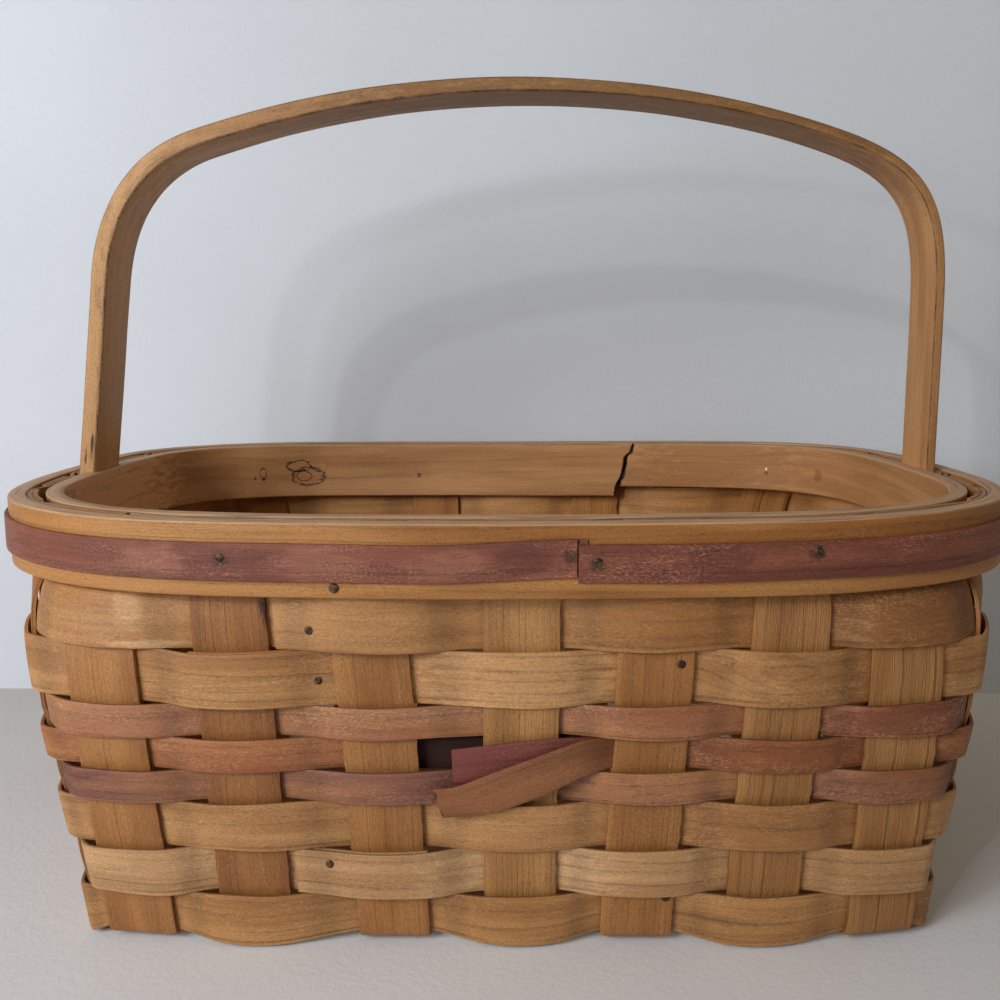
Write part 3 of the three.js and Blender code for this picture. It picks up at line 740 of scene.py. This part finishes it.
def band(name, stations, ring, faces, foot, seed, finish, slot, shift=None, wave=(0, 0), top=None):
    """A band round the rim. Faces gives its inner and outer offsets at a length. The wave
    says which of the two faces undulate. A top stretches the section to that height."""
    tall = max(height for height, _, _ in ring)

    def place(length, spot):
        height, side, inset = spot
        inner, outer = faces(length)
        inset = min(inset, (outer - inner) / 2)
        offset = outer - inset if side else inner + inset
        base = foot(length)
        if top:
            height *= (top - base) / tall
        z = base + height
        offset += rim_wave(length, z) * wave[side]
        z += 0.2 * wander(length * 0.017, seed * 2.0, 4.0)
        moved = length + (shift(length, z) if shift else 0.0)
        grain = grain_at(length, height, offset - inner, seed, BAND_SEED_ACROSS)
        lies = (length / RIM_TOTAL, spot[0] / tall, side)
        return off_wall(moved, z, offset, BAND_FOOT), grain, lies

    dress(sweep(name, stations, ring, place), finish, slot, name)


# Finishes of this basket

# The inner band is butted at the splice, and the accent band is lapped where it starts.
SPLICE, CRACK_WIDTH = rim_length(60.0, True), 1.6
ACCENT_START, ACCENT_FOOT = rim_length(21.7), 125.0
# Nails of the bands: distance x, height, and how far they stand from the outer band.
BAND_NAILS = ((-83.1, 131.9, 1.4), (19.2, 131.4, 0.9), (27.5, 131.1, 1.35), (91.4, 133.1, 1.4),
              (-50.3, 123.0, 0))
# Nails of the wall: distance x, height, and the row whose lap they hold, or none for an upright's.
WALL_NAILS = ((-59.4, 108.5, 1), (-57.8, 91.8, 2), (54.2, 96.9, 0), (-56.0, 30.2, 7), (51.8, 17.2, 0))


def mark(spot, along, across, tone=None, share=1.0, swirl=0, deep=20.0):
    """A mark at a place in the grain: how far it reaches each way, its tone and the share of
    that, and how many growth lines it swirls."""
    return [value * MM for value in spot], (along * MM, across * MM, deep * MM), tone, share, swirl


def weaver_mark(row, turn, share, *look):
    """A mark on a weaver, at an upright's number and a share of the weaver's width."""
    across, seed = share * ROW_HEIGHTS[row - 1], FIRST_WEAVER_SEED + row
    return mark(grain_at(turn * GRAIN_PER_UPRIGHT, across, 0.0, seed, WEAVER_SEED_ACROSS), *look)


def band_mark(start, foot, seed, back, x, z, *look):
    """A mark on a band that starts at a length round the rim and runs rightward from there."""
    length = rim_length(x, back)
    length += RIM_TOTAL if length < start else 0
    return mark(grain_at(length, z - foot, 0.0, seed, BAND_SEED_ACROSS), *look)


accent_mark = partial(band_mark, ACCENT_START, ACCENT_FOOT, ACCENT_SEED, False)
inner_mark = partial(band_mark, SPLICE, BAND_FOOT, INNER_SEED, True)
chip = mark(grain_at(28, 25.2, 0.0, 2, UPRIGHT_SEED_ACROSS), 9, 3.6, (50, 16, 8))
accent_marks = [accent_mark(x, z, 4.6, 4.4, (66, 38, 26), 0.85) for x, z, _ in BAND_NAILS[:4]]
accent_marks += [accent_mark(x, 130.5, reach, 9, (160, 102, 80), 0.55)
                 for x, reach in ((-55, 26), (-18, 22), (-104, 18))]
accent_marks += [accent_mark(x, 131, reach, 9, (90, 42, 32), 0.6) for x, reach in ((6, 14), (62, 20))]
inner_marks = [inner_mark(*settings) for settings in (
    (-102.5, 131, 12, 9, (150, 100, 58), 0.3, 3.4),
    (-44.8, 130.2, 2.2, 2.4, (74, 42, 26), 0.85, 0.8),
    (-129, 129.3, 1.6, 1.6, (70, 40, 24), 0.85),
    # Painted light on the inner face at the left end, and painted shade at the back right, where the
    # handle's shadow falls.
    (-RIM_HALF_LENGTH, 131.4, 110, 60, (216, 166, 122), 0.85),
    (112, 130, 80, 60, (138, 90, 46), 0.6),
    (133.1, 129.8, 1.3, 1.3, (244, 226, 190), 0.9),
    (133.3, 128.0, 1.8, 1.8, (66, 38, 24), 0.7),
    (157, 128.5, 4.5, 5.5, (118, 70, 38), 0.6, 2.0),
    (-107, 135, 10, 4.5), (-102, 129.5, 13, 7), (-104, 130, 6, 4), (-125, 131.5, 3, 5),
)]
inner_marks += [
    mark(grain_at(length, 12, 0.0, INNER_SEED, BAND_SEED_ACROSS), 0.9, 80, (46, 24, 14), 0.95)
    for length in (SPLICE, SPLICE + RIM_TOTAL - CRACK_WIDTH)
]
handle_marks = [mark((60, 0, -3), 190, 90, (212, 164, 108), 0.6),
                mark((330, 0, -3), 210, 90, (126, 90, 52), 0.75),
                mark((34, -12.5, -4.6), 10, 4, (58, 32, 20), 0.95, deep=1.1),
                mark((30, -12.5, -2.4), 7, 4, (58, 32, 20), 0.95, deep=0.9)]
row_marks = (
    # Row 1's first mark is a painted highlight, a glint where the weaver bends at the left.
    (1, 24.28, 0.69, 8, 12, (220, 180, 132), 0.4), (1, 24.45, 0.04, 26, 3.2, (222, 182, 134), 0.55),
    (1, 6.1, 0.5, 90, 40, (124, 74, 34), 0.75), (1, 4.2, 0.4, 50, 30, (156, 100, 44), 0.5),
    (2, 5.0, 0.5, 32, 11, (208, 160, 106), 0.3, 2.6), (2, 3.0, 0.5, 56, 40, (212, 164, 112), 0.6),
    (2, 5.6, 0.5, 60, 50, (136, 86, 38), 0.6),
    (3, 30.2, 0.5, 75, 30, (118, 62, 36), 0.85), (3, 28.4, 0.5, 50, 20, (148, 88, 52), 0.5),
    (4, 5.4, 0.5, 90, 30, (122, 64, 34), 0.75),
    (5, 28.3, 0.5, 75, 24, (172, 118, 74), 0.85), (5, 30.2, 0.5, 50, 24, (134, 82, 46), 0.7),
    (6, 29.3, 0.5, 80, 40, (144, 94, 46), 0.6),
    (7, 3.0, 0.5, 56, 40, (216, 176, 130), 0.6), (7, 5.6, 0.5, 80, 40, (168, 124, 78), 0.65),
)

# Depths of the inner and the outer face of a splint, with the brightness of each: painted light that
# lifts one face, or painted shade that darkens it.
INSIDE_PAINTED_LIGHTER = (-0.0004, 0.0003, 1.4, 1.0)
INSIDE_PAINTED_DARKER = (-0.0004, 0.0003, 0.6, 1.0)
plain = dict(rings=520, figure=1.2, line=0.36, fibre=0.1, streak=0.1, speckle=0.3, inside=INSIDE_PAINTED_LIGHTER,
             painted_shade_low_inside=True)
ridged = dict(plain, rings=230, figure=0.3, line=0.6, fibre=0.03, streak=0.03, speckle=0.12,
              depth=0.0004, grit=0.5)
upper = dict(rings=230, figure=2.2, speckle=0.42, dives=True, inside=INSIDE_PAINTED_LIGHTER)
lower = dict(upper, inside=INSIDE_PAINTED_DARKER)
stained = dict(line=0.26, speckle=0.5, dives=True, inside=INSIDE_PAINTED_DARKER)
rose = dict(stained, speckle_tone=(222, 182, 146), wash=(172, 116, 70))
orange = dict(stained, speckle_tone=(210, 160, 116), wash=(172, 112, 62))
purple = dict(stained, speckle_tone=(200, 156, 128), wash=(156, 104, 68))
finishes = {
    "plain": wood("upright splint", (168, 114, 60), (146, 94, 43), **plain),
    "chipped": wood("chipped upright splint", (152, 100, 50), (132, 80, 36), marks=[chip], **plain),
    "paler": wood("paler upright splint", (180, 132, 76), (158, 110, 58), **plain),
    "ridged": wood("ridged upright splint", (172, 122, 68), (148, 99, 50), **ridged),
    "row 0": wood("hidden weaver", (168, 130, 90), (140, 100, 62)),
    "band": wood("rim band", (181, 126, 66), (151, 95, 40), rings=190, figure=2.6, line=0.2,
                 streak=0.12, speckle=0.25, shine=0.46, weathered=(194, 154, 116)),
    # The inner band's inner face is made half as bright again: painted light.
    "inner band": wood("inner rim band", (176, 130, 86), (150, 106, 64), rings=150, figure=2.6, line=0.2,
                       streak=0.1, speckle=0.25, inside=(0.0004, 0.0012, 1.5, 1.0),
                       weathered=(192, 154, 118), marks=inner_marks),
    "accent": wood("stained band", (138, 78, 58), (106, 52, 38), rings=320, figure=1.5, line=0.3,
                   streak=0.28, speckle=0.62, speckle_tone=(198, 144, 118), marks=accent_marks),
    # The handle's outer face is darkened with painted shade, and its inner face made paler with painted
    # light.
    "handle": wood("handle", (186, 138, 88), (158, 110, 62), rings=240, figure=1.2, line=0.24,
                   streak=0.1, speckle=0.16, shine=0.45, inside=(-0.0008, -0.0002, 1.0, 0.6),
                   marks=handle_marks, bent=True),
    "tongue": wood("split tongue", (134, 68, 58), (112, 52, 46), figure=1.0, line=0.12, fibre=0.1,
                   speckle=0.14),
    # The inner layer's outer face is darkened almost to black: painted shade behind the hole.
    "inner layer in painted shade": wood("inner layer in painted shade", (156, 80, 46), (126, 58, 32), figure=1.0, line=0.2, fibre=0.1,
                        shine=0.8, inside=(-0.0002, 0.0002, 1.0, 0.1)),
    "splinter": wood("peeled splinter", (146, 92, 54), (122, 72, 38), figure=1.6, speckle=0.3),
    "nail": nail_metal(),
}
for row, name, pale, deep, look in (
    (1, "weaver one", (184, 134, 82), (160, 110, 60), upper),
    (2, "weaver two", (190, 140, 86), (162, 112, 62), upper),
    (3, "rose weaver", (172, 118, 84), (152, 92, 60), rose),
    (4, "orange weaver", (166, 104, 64), (144, 82, 48), orange),
    (5, "purple weaver", (140, 90, 72), (108, 60, 52), purple),
    (6, "weaver six", (192, 142, 90), (164, 114, 64), lower),
    (7, "weaver seven", (200, 157, 110), (176, 131, 86), lower),
    (8, "weaver eight", (182, 132, 78), (154, 104, 54), lower),
):
    marks = [weaver_mark(*settings) for settings in row_marks if settings[0] == row]
    finishes[f"row {row}"] = wood(name, pale, deep, marks=marks, **look)

# The woven wall and base

UPRIGHT_KINDS = ("plain", "chipped", "plain", "paler", "plain", "ridged", "ridged")
for column, kind in enumerate(UPRIGHT_KINDS):
    upright(f"upright_front_to_back_{column + 1}", upright_frames(True, column), column + 1, kind)
for strip in range(ALONG_COUNT):
    upright(f"upright_end_to_end_{strip + 1}", upright_frames(False, strip), strip + 11, "plain")

weaver("weaver_under_rim", 0, turns(FIRST_BACK, FIRST_BACK + UPRIGHT_TOTAL - 0.01), half=0.85)
for row, *lap in ((1, 2, True, -70.7), (2, 1, False, -51.8), (3, 14, True), (5, 16, True),
                  (6, 13, False), (7, 2, True, -67.4), (8, 15, True)):
    weaver(f"weaver_row_{row}", row, *lapped(row, *lap))

# The broken weaver, its tongue and its splinter


def along_points(points, share):
    """A smooth line through points, at a share of its length."""
    place = share * (len(points) - 1)
    order = min(int(place), len(points) - 2)
    t = place - order
    around = (points[min(max(order + i, 0), len(points) - 1)] for i in (-1, 0, 1, 2))
    a, b, c, d = (np.array(point) for point in around)
    bend = (2 * a - 5 * b + 4 * c - d) * t * t + (3 * b - a - 3 * c + d) * t**3
    return 0.5 * (2 * b + (c - a) * t + bend)


# Points (x, z) along the upper and the lower edge of each loose strip, and for the splinter how
# far it stands from the wall.
LAYER_X = (-40, -24, -8, 8, 24)
TONGUE_TOP = [(-16.7, 69.3), (-8.0, 70.4), (6.0, 72.2), (16.8, 73.0), (30.0, 72.6)]
TONGUE_FOOT = [(-16.3, 58.0), (-8.0, 58.6), (6.0, 60.0), (17.2, 61.0), (30.0, 61.8)]
SPLINTER_TOP = [(38, 71.6), (33.2, 72.3), (24.4, 73), (9.3, 67.9), (-3.4, 62.9), (-15, 58),
                (-21.9, 57.4)]
SPLINTER_FOOT = [(38, 62.2), (32.6, 62.4), (24.9, 61.4), (13.5, 56.2), (-1, 50.3), (-12.3, 48.3),
                 (-19.6, 47.6)]
SPLINTER_OUT = [(-1.6,), (0.8,), (4.1,), (5.5,), (5.4,), (5.0,), (5.4,)]


def strip_between(name, top, foot, out, half, seed, finish, torn=0.0):
    """A loose strip in front of the wall, between an upper and a lower edge."""
    def place(share, spot):
        up, depth = spot
        high, low = along_points(top, share), along_points(foot, share)
        x, z = mix(low[0], high[0], up), mix(low[1], high[1], up)
        stand = out(share) + depth + 0.2 * (1 - (2 * up - 1) ** 2)
        if share > 0.9:
            x += torn * wander(up * 4.5, seed, 2.0) * (share - 0.9) * 10
        point = Vector((x, -wall_ring(ring_step(z))[5][1] - stand, lifted(x, z)))
        return point, grain_at(x, up * 10.5, depth, seed, WEAVER_SEED_ACROSS), (share, up, 1)

    piece = sweep(name, [step / 60 for step in range(61)], splint_ring(half, 0.16), place)
    dress(piece, finishes[finish], "weaver_orange")


weaver("weaver_row_4_broken", 4, turns(turn_at(31.0, 67), 26))
# The split weaver's inner half behind the hole; its outer face is painted shade of the hole.
strip_between("inner_layer_painted_shade", [(x, 73.5) for x in LAYER_X], [(x, 60.5) for x in LAYER_X],
              lambda share: -3.2, 0.3, 33, "inner layer in painted shade")
strip_between("split_tongue", TONGUE_TOP, TONGUE_FOOT,
              lambda share: mix(2.6, 1.4, smooth(0.6, 1, share)), 0.42, 31, "tongue")
strip_between("peeled_splinter", SPLINTER_TOP, SPLINTER_FOOT,
              lambda share: along_points(SPLINTER_OUT, share)[0], 0.42, 32, "splinter", torn=2.2)

# The rim


def lap_faces(faces, length, first, lap, tip, start_outside):
    """Inner and outer offsets of a band whose ends taper past each other."""
    inner, outer = faces(length)
    near, far = inner + tip + FIT / 2, outer - tip - FIT / 2
    gone = length - first
    at_start = gone < lap
    if not at_start and gone <= RIM_TOTAL:
        return inner, outer
    share = (gone if at_start else gone - RIM_TOTAL) / lap
    seam = mix(far, near, share) if start_outside else mix(near, far, share)
    return (seam + FIT / 2, outer) if at_start == start_outside else (inner, seam - FIT / 2)


def stations_from(start, *runs):
    """The stations of runs that are given by two lengths past the start and a gap."""
    return [station for low, high, gap in runs for station in evenly(start + low, start + high, gap)]


def outer_faces(length):
    return BAND_OFFSET, BAND_OFFSET + band_thickness(length)


SCARF, SCARF_LENGTH = rim_length(-37.5, True), 45.0
band("rim_outer_band",
     stations_from(SCARF, (0, SCARF_LENGTH - 0.1, BAND_GAP),
                   (SCARF_LENGTH + 0.5, RIM_TOTAL - 0.5, BAND_GAP),
                   (RIM_TOTAL + 0.1, RIM_TOTAL + SCARF_LENGTH, BAND_GAP)),
     band_ring(BAND_HEIGHT - FIT / 2, 0.7, 0.8),
     lambda length: lap_faces(outer_faces, length, SCARF, SCARF_LENGTH, 0.9, False),
     lambda length: BAND_FOOT + FIT / 2, OUTER_SEED, finishes["band"], "rim_wood", wave=(0, 1))

# The crack where the inner band is butted: its run to the left at heights from the foot up.
CRACK = [(115, -4), (118.5, -4.2), (123.5, -2.6), (125, -1.2), (131, 0.2), (136.4, 0.8), (138, 3.6),
         (144, 5.2)]
LEG_FACE = RIM_HALF_LENGTH - UPRIGHT_THICKNESS / 2 - FIT
HANDLE_WIDTH = 25.0
LEFT_LEG_THICKNESS, RIGHT_LEG_THICKNESS = 6.5, 3.5


def inner_faces(length):
    """The inner band stands off the leaning wall, and is cut back where a leg is seated."""
    _, y, nx, _ = on_wall(length, BAND_FOOT)
    sideways, endways = RIM_HALF_WIDTH - BASE_HALF_WIDTH, RIM_HALF_LENGTH - BASE_HALF_LENGTH
    outer = -(BAND_OFFSET + mix(sideways, FLARE_POWER * endways, nx * nx) / BAND_FOOT * 2.4)
    inner = outer - band_thickness(length)
    if abs(nx) > 0.9 and abs(y) < HANDLE_WIDTH / 2 + 0.35:
        leg = RIGHT_LEG_THICKNESS if nx > 0 else LEFT_LEG_THICKNESS
        outer = LEG_FACE - leg - FIT - RIM_HALF_LENGTH
    return inner, outer


def inner_shift(length, z):
    """Moves the ends of the inner band to the crack, and the rest less with the distance."""
    share = (length - SPLICE) / RIM_TOTAL
    closeness = max(1 - share * 60, 1 - (1 - share) * 60, 0.0)
    return -float(np.interp(z, *zip(*CRACK))) * closeness


def inner_stations():
    """Even stations, and close ones at both edges of each leg's seat."""
    stations = evenly(SPLICE, SPLICE + RIM_TOTAL - CRACK_WIDTH, BAND_GAP)
    for middle in (RIM_TOTAL * 1.25, RIM_TOTAL * 0.75):
        for edge in (0.3, 0.4):
            stations += [middle - HANDLE_WIDTH / 2 - edge, middle + HANDLE_WIDTH / 2 + edge]
    return sorted(stations)


band("rim_inner_band", inner_stations(), band_ring(BAND_HEIGHT + 3, 0.4, 0.4, 0.8, 16), inner_faces,
     lambda length: BAND_FOOT + mix(-3.9, 1.2, (length - SPLICE) / RIM_TOTAL), INNER_SEED,
     finishes["inner band"], "rim_wood", shift=inner_shift, top=RIM_TOP)

ACCENT_LAP = 5.0


def accent_faces(length):
    seat = outer_faces(length)[1] + 0.1
    return seat, seat + 1.35


def accent_foot(length):
    gone = length - ACCENT_START
    return ACCENT_FOOT + 1.7 * smooth(-45, 0, gone - RIM_TOTAL) - 0.3 * smooth(0, 30, gone - ACCENT_LAP)


band("rim_accent_band",
     stations_from(ACCENT_START, (0, 0.9, 0.3), (1.6, ACCENT_LAP - 0.1, 1.2),
                   (ACCENT_LAP + 0.4, RIM_TOTAL - 0.5, BAND_GAP),
                   (RIM_TOTAL + 0.1, RIM_TOTAL + 2.6, 1.2)),
     band_ring(11.6, 0.35, 0.35),
     lambda length: lap_faces(accent_faces, length, ACCENT_START, ACCENT_LAP, 0.65, True),
     accent_foot, ACCENT_SEED, finishes["accent"], "accent_stain", wave=(1, 1))

# The handle

HANDLE_TOP, CROWN_RADIUS, CROWN_X = 292.5, 407.0, 2.7
# For the left and the right shoulder: how far the top of its leg leans in and rises over the rim,
# how far from the leg it meets the crown, and how tightly it bends.
SHOULDERS = {-1: (10.0, 77.9, 51.8, 0.65), 1: (0.6, 68.8, 55.8, 0.81)}


def crown_point(x):
    return Vector((x, HANDLE_TOP - (CROWN_RADIUS - sqrt(CROWN_RADIUS**2 - (x - CROWN_X) ** 2))))


def leg_points(side):
    lean, rise, reach, tightness = SHOULDERS[side]
    foot = Vector((side * LEG_FACE, lifted(LEG_FACE, BAND_FOOT) + FIT))
    rim = Vector((side * LEG_FACE, lifted(LEG_FACE, RIM_TOP)))
    top = Vector((side * (LEG_FACE - lean), RIM_TOP + rise))
    crown = crown_point(side * (LEG_FACE - reach))
    along = (top - rim).normalized()
    slope = -(crown.x - CROWN_X) / (crown.y - (HANDLE_TOP - CROWN_RADIUS))
    short = crown.y - top.y - slope * (crown.x - top.x)
    corner = top + along * (short / (along.y - slope * along.x))
    first, second = top.lerp(corner, tightness), crown.lerp(corner, tightness)
    points = [foot.lerp(rim, i / 6) for i in range(6)] + [rim.lerp(top, i / 26) for i in range(26)]
    for i in range(33):
        t = i / 32
        shoulder = top * (1 - t) ** 3 + first * 3 * t * (1 - t) ** 2
        points.append(shoulder + second * 3 * t * t * (1 - t) + crown * t**3)
    return points


def handle_path():
    left, right = leg_points(-1), leg_points(1)[::-1]
    crown = [crown_point(mix(left[-1].x, right[0].x, i / 70)) for i in range(1, 70)]
    return left + crown + right


# The strip is shaved thinner toward its right end: millimetres at five shares of its length.
THICKNESS = (LEFT_LEG_THICKNESS, 6.4, 5.3, 3.7, RIGHT_LEG_THICKNESS)


def handle_ring():
    """Section of the handle as (y, depth), one thick and with rounded corners."""
    ring = []
    for side, up, start in ((-1, 1, pi), (1, 1, pi / 2), (1, -1, 0), (-1, -1, -pi / 2)):
        for step in range(5):
            turn = start - pi / 2 * step / 4
            y, depth = side * (HANDLE_WIDTH / 2 - 0.6), up * 0.38 - 0.5
            ring.append((y + 0.6 * cos(turn), depth + 0.12 * sin(turn)))
    return ring


def build_handle():
    path = handle_path()
    lengths = lengths_after(after - before for before, after in zip(path, path[1:]))

    def place(station, spot):
        y, depth = spot
        along = (path[min(station + 1, len(path) - 1)] - path[max(station - 1, 0)]).normalized()
        length = lengths[station]
        share = length / lengths[-1]
        depth *= float(np.interp(share, (0, 0.3, 0.5, 0.68, 1), THICKNESS))
        y += 0.25 * wander(length * 0.012, 8.0, 1.0)
        depth += 0.12 * wander(length * 0.03, y * 0.1, 6.0)
        point = path[station] + Vector((-along.y, along.x)) * min(depth, 0)
        return Vector((point.x, y, point.y)), (length, y, depth), (share, y / HANDLE_WIDTH, -spot[1])

    piece = sweep("handle", range(len(path)), handle_ring(), place)
    dress(piece, finishes["handle"], "handle_wood", "handle")


build_handle()

# Nails


def nail(name, point, out, width):
    shape = bmesh.new()
    half = width / 2
    profile = ((0, 0.4), (0.5, 0.36), (0.84, 0.24), (1, 0.0), (0.9, -0.4), (0, -0.45))
    verts = [shape.verts.new((share * half, 0, height)) for share, height in profile]
    edges = [shape.edges.new(pair) for pair in zip(verts, verts[1:])]
    bmesh.ops.spin(shape, geom=verts + edges, cent=(0, 0, 0), axis=(0, 0, 1), dvec=(0, 0, 0),
                   angle=2 * pi, steps=20, use_merge=True, use_duplicate=False)
    bmesh.ops.remove_doubles(shape, verts=shape.verts[:], dist=1e-4)
    turned = Vector((*out, 0)).to_track_quat("Z", "Y").to_matrix().to_4x4()
    moved = Matrix.Scale(MM, 4) @ Matrix.Translation(point) @ turned
    bmesh.ops.transform(shape, matrix=moved, verts=shape.verts[:])
    bmesh.ops.recalc_face_normals(shape, faces=shape.faces[:])
    dress(into_piece(name, shape), finishes["nail"], "rim_wood")


for count, (x, z, stand) in enumerate(BAND_NAILS, 1):
    length = rim_length(x)
    offset = outer_faces(length)[1] + stand + rim_wave(length, z)
    nail(f"rim_nail_{count}", off_wall(length, z, offset), on_wall(length, z)[2:], 3.0)
for count, (x, z, row) in enumerate(WALL_NAILS, len(BAND_NAILS) + 1):
    turn = turn_at(x, z)
    length = turn_length(turn, ring_step(z))
    offset = swing(row, turn) * SWING_OUT + LAP_OFFSET + 0.75 if row else 1.1
    nail(f"weave_nail_{count}", off_wall(length, z, offset), on_wall(length, z)[2:], 2.8)

# Camera, floor and light


def backdrop(name, corners, tone, rough, one_sided=False):
    """A painted sheet. A one-sided one is only there for the camera in front of it."""
    shape = bmesh.new()
    shape.faces.new([shape.verts.new(corner) for corner in corners])
    mesh = bpy.data.meshes.new(name)
    shape.to_mesh(mesh)
    shape.free()
    sheet = add_object(name, mesh)
    finish = Finish(name + " paint")
    patches = finish.step(finish.cloud(finish.place(), 6, 6, 3.0), 0.3, 0.7)
    shade = finish.blend(patches, colour(*tone), colour(*[value * 0.975 for value in tone]))
    finish.coat(shade, rough)
    finish.relief(finish.cloud(finish.place(), 320, 320, 3.0, 0.7), 0.0004, 0.5)
    if one_sided:
        facing = finish.node("NewGeometry").outputs["Backfacing"]
        see_through = finish.node("BsdfTransparent").outputs[0]
        mixer = finish.node("MixShader", {0: facing, 1: finish.shader.outputs[0], 2: see_through})
        finish.feed(finish.nodes["Material Output"].inputs["Surface"], mixer.outputs[0])
        sheet.visible_diffuse = sheet.visible_shadow = False
    mesh.materials.append(finish.material)


def lamp(name, place, aim, power, size):
    light = bpy.data.lights.new(name, "AREA")
    light.shape, light.size, light.energy = "DISK", size, power
    lamp_object = add_object(name, light)
    lamp_object.location = place
    lamp_object.rotation_euler = (Vector(aim) - Vector(place)).to_track_quat("-Z", "Y").to_euler()


backdrop("floor", ((-1.5, -1.2, 0), (1.5, -1.2, 0), (1.5, 1.2, 0), (-1.5, 1.2, 0)), (235, 239, 246), 0.7)
backdrop("wall", ((-1.5, 0.155, 0), (0.42, 0.125, 0), (0.42, 0.125, 1.2), (-1.5, 0.155, 1.2)),
         (223, 231, 242), 0.8, one_sided=True)
world = bpy.data.worlds.new("room light")
scene.world = world
world.use_nodes = True
sky = world.node_tree.nodes["Background"]
sky.inputs["Color"].default_value = (1.0, 0.86, 0.67, 1)
sky.inputs["Strength"].default_value = 0.23
lamp("near lamp", (-0.29, -0.463, 0.337), (0, 0, 0.12), 0.23, 0.03)
lamp("far lamp", (-1.28, -2.0, 1.3), (0, 0, 0.12), 3.9, 0.08)
lamp("window", (-0.72, -0.76, 0.52), (0, 0, 0.1), 6.9, 0.6)

# The camera of the photograph, about forty centimetres in front and a little above.
pitch, yaw, roll = 0.161, 0.0085, -0.0033
right = Vector((cos(yaw), sin(yaw), 0))
up = Vector((-sin(yaw) * sin(pitch), cos(yaw) * sin(pitch), cos(pitch)))
right, up = right * cos(roll) + up * sin(roll), up * cos(roll) - right * sin(roll)
turned = Matrix((right, up, right.cross(up))).transposed().to_4x4()
lens = bpy.data.cameras.new("camera")
lens.sensor_width, lens.lens = 36, 35.86
lens.clip_start, lens.clip_end = 0.01, 20
scene.camera = add_object("camera", lens)
scene.camera.matrix_world = Matrix.Translation((0.0012, -0.4047, 0.196)) @ turned
scene.view_settings.view_transform = "Standard"
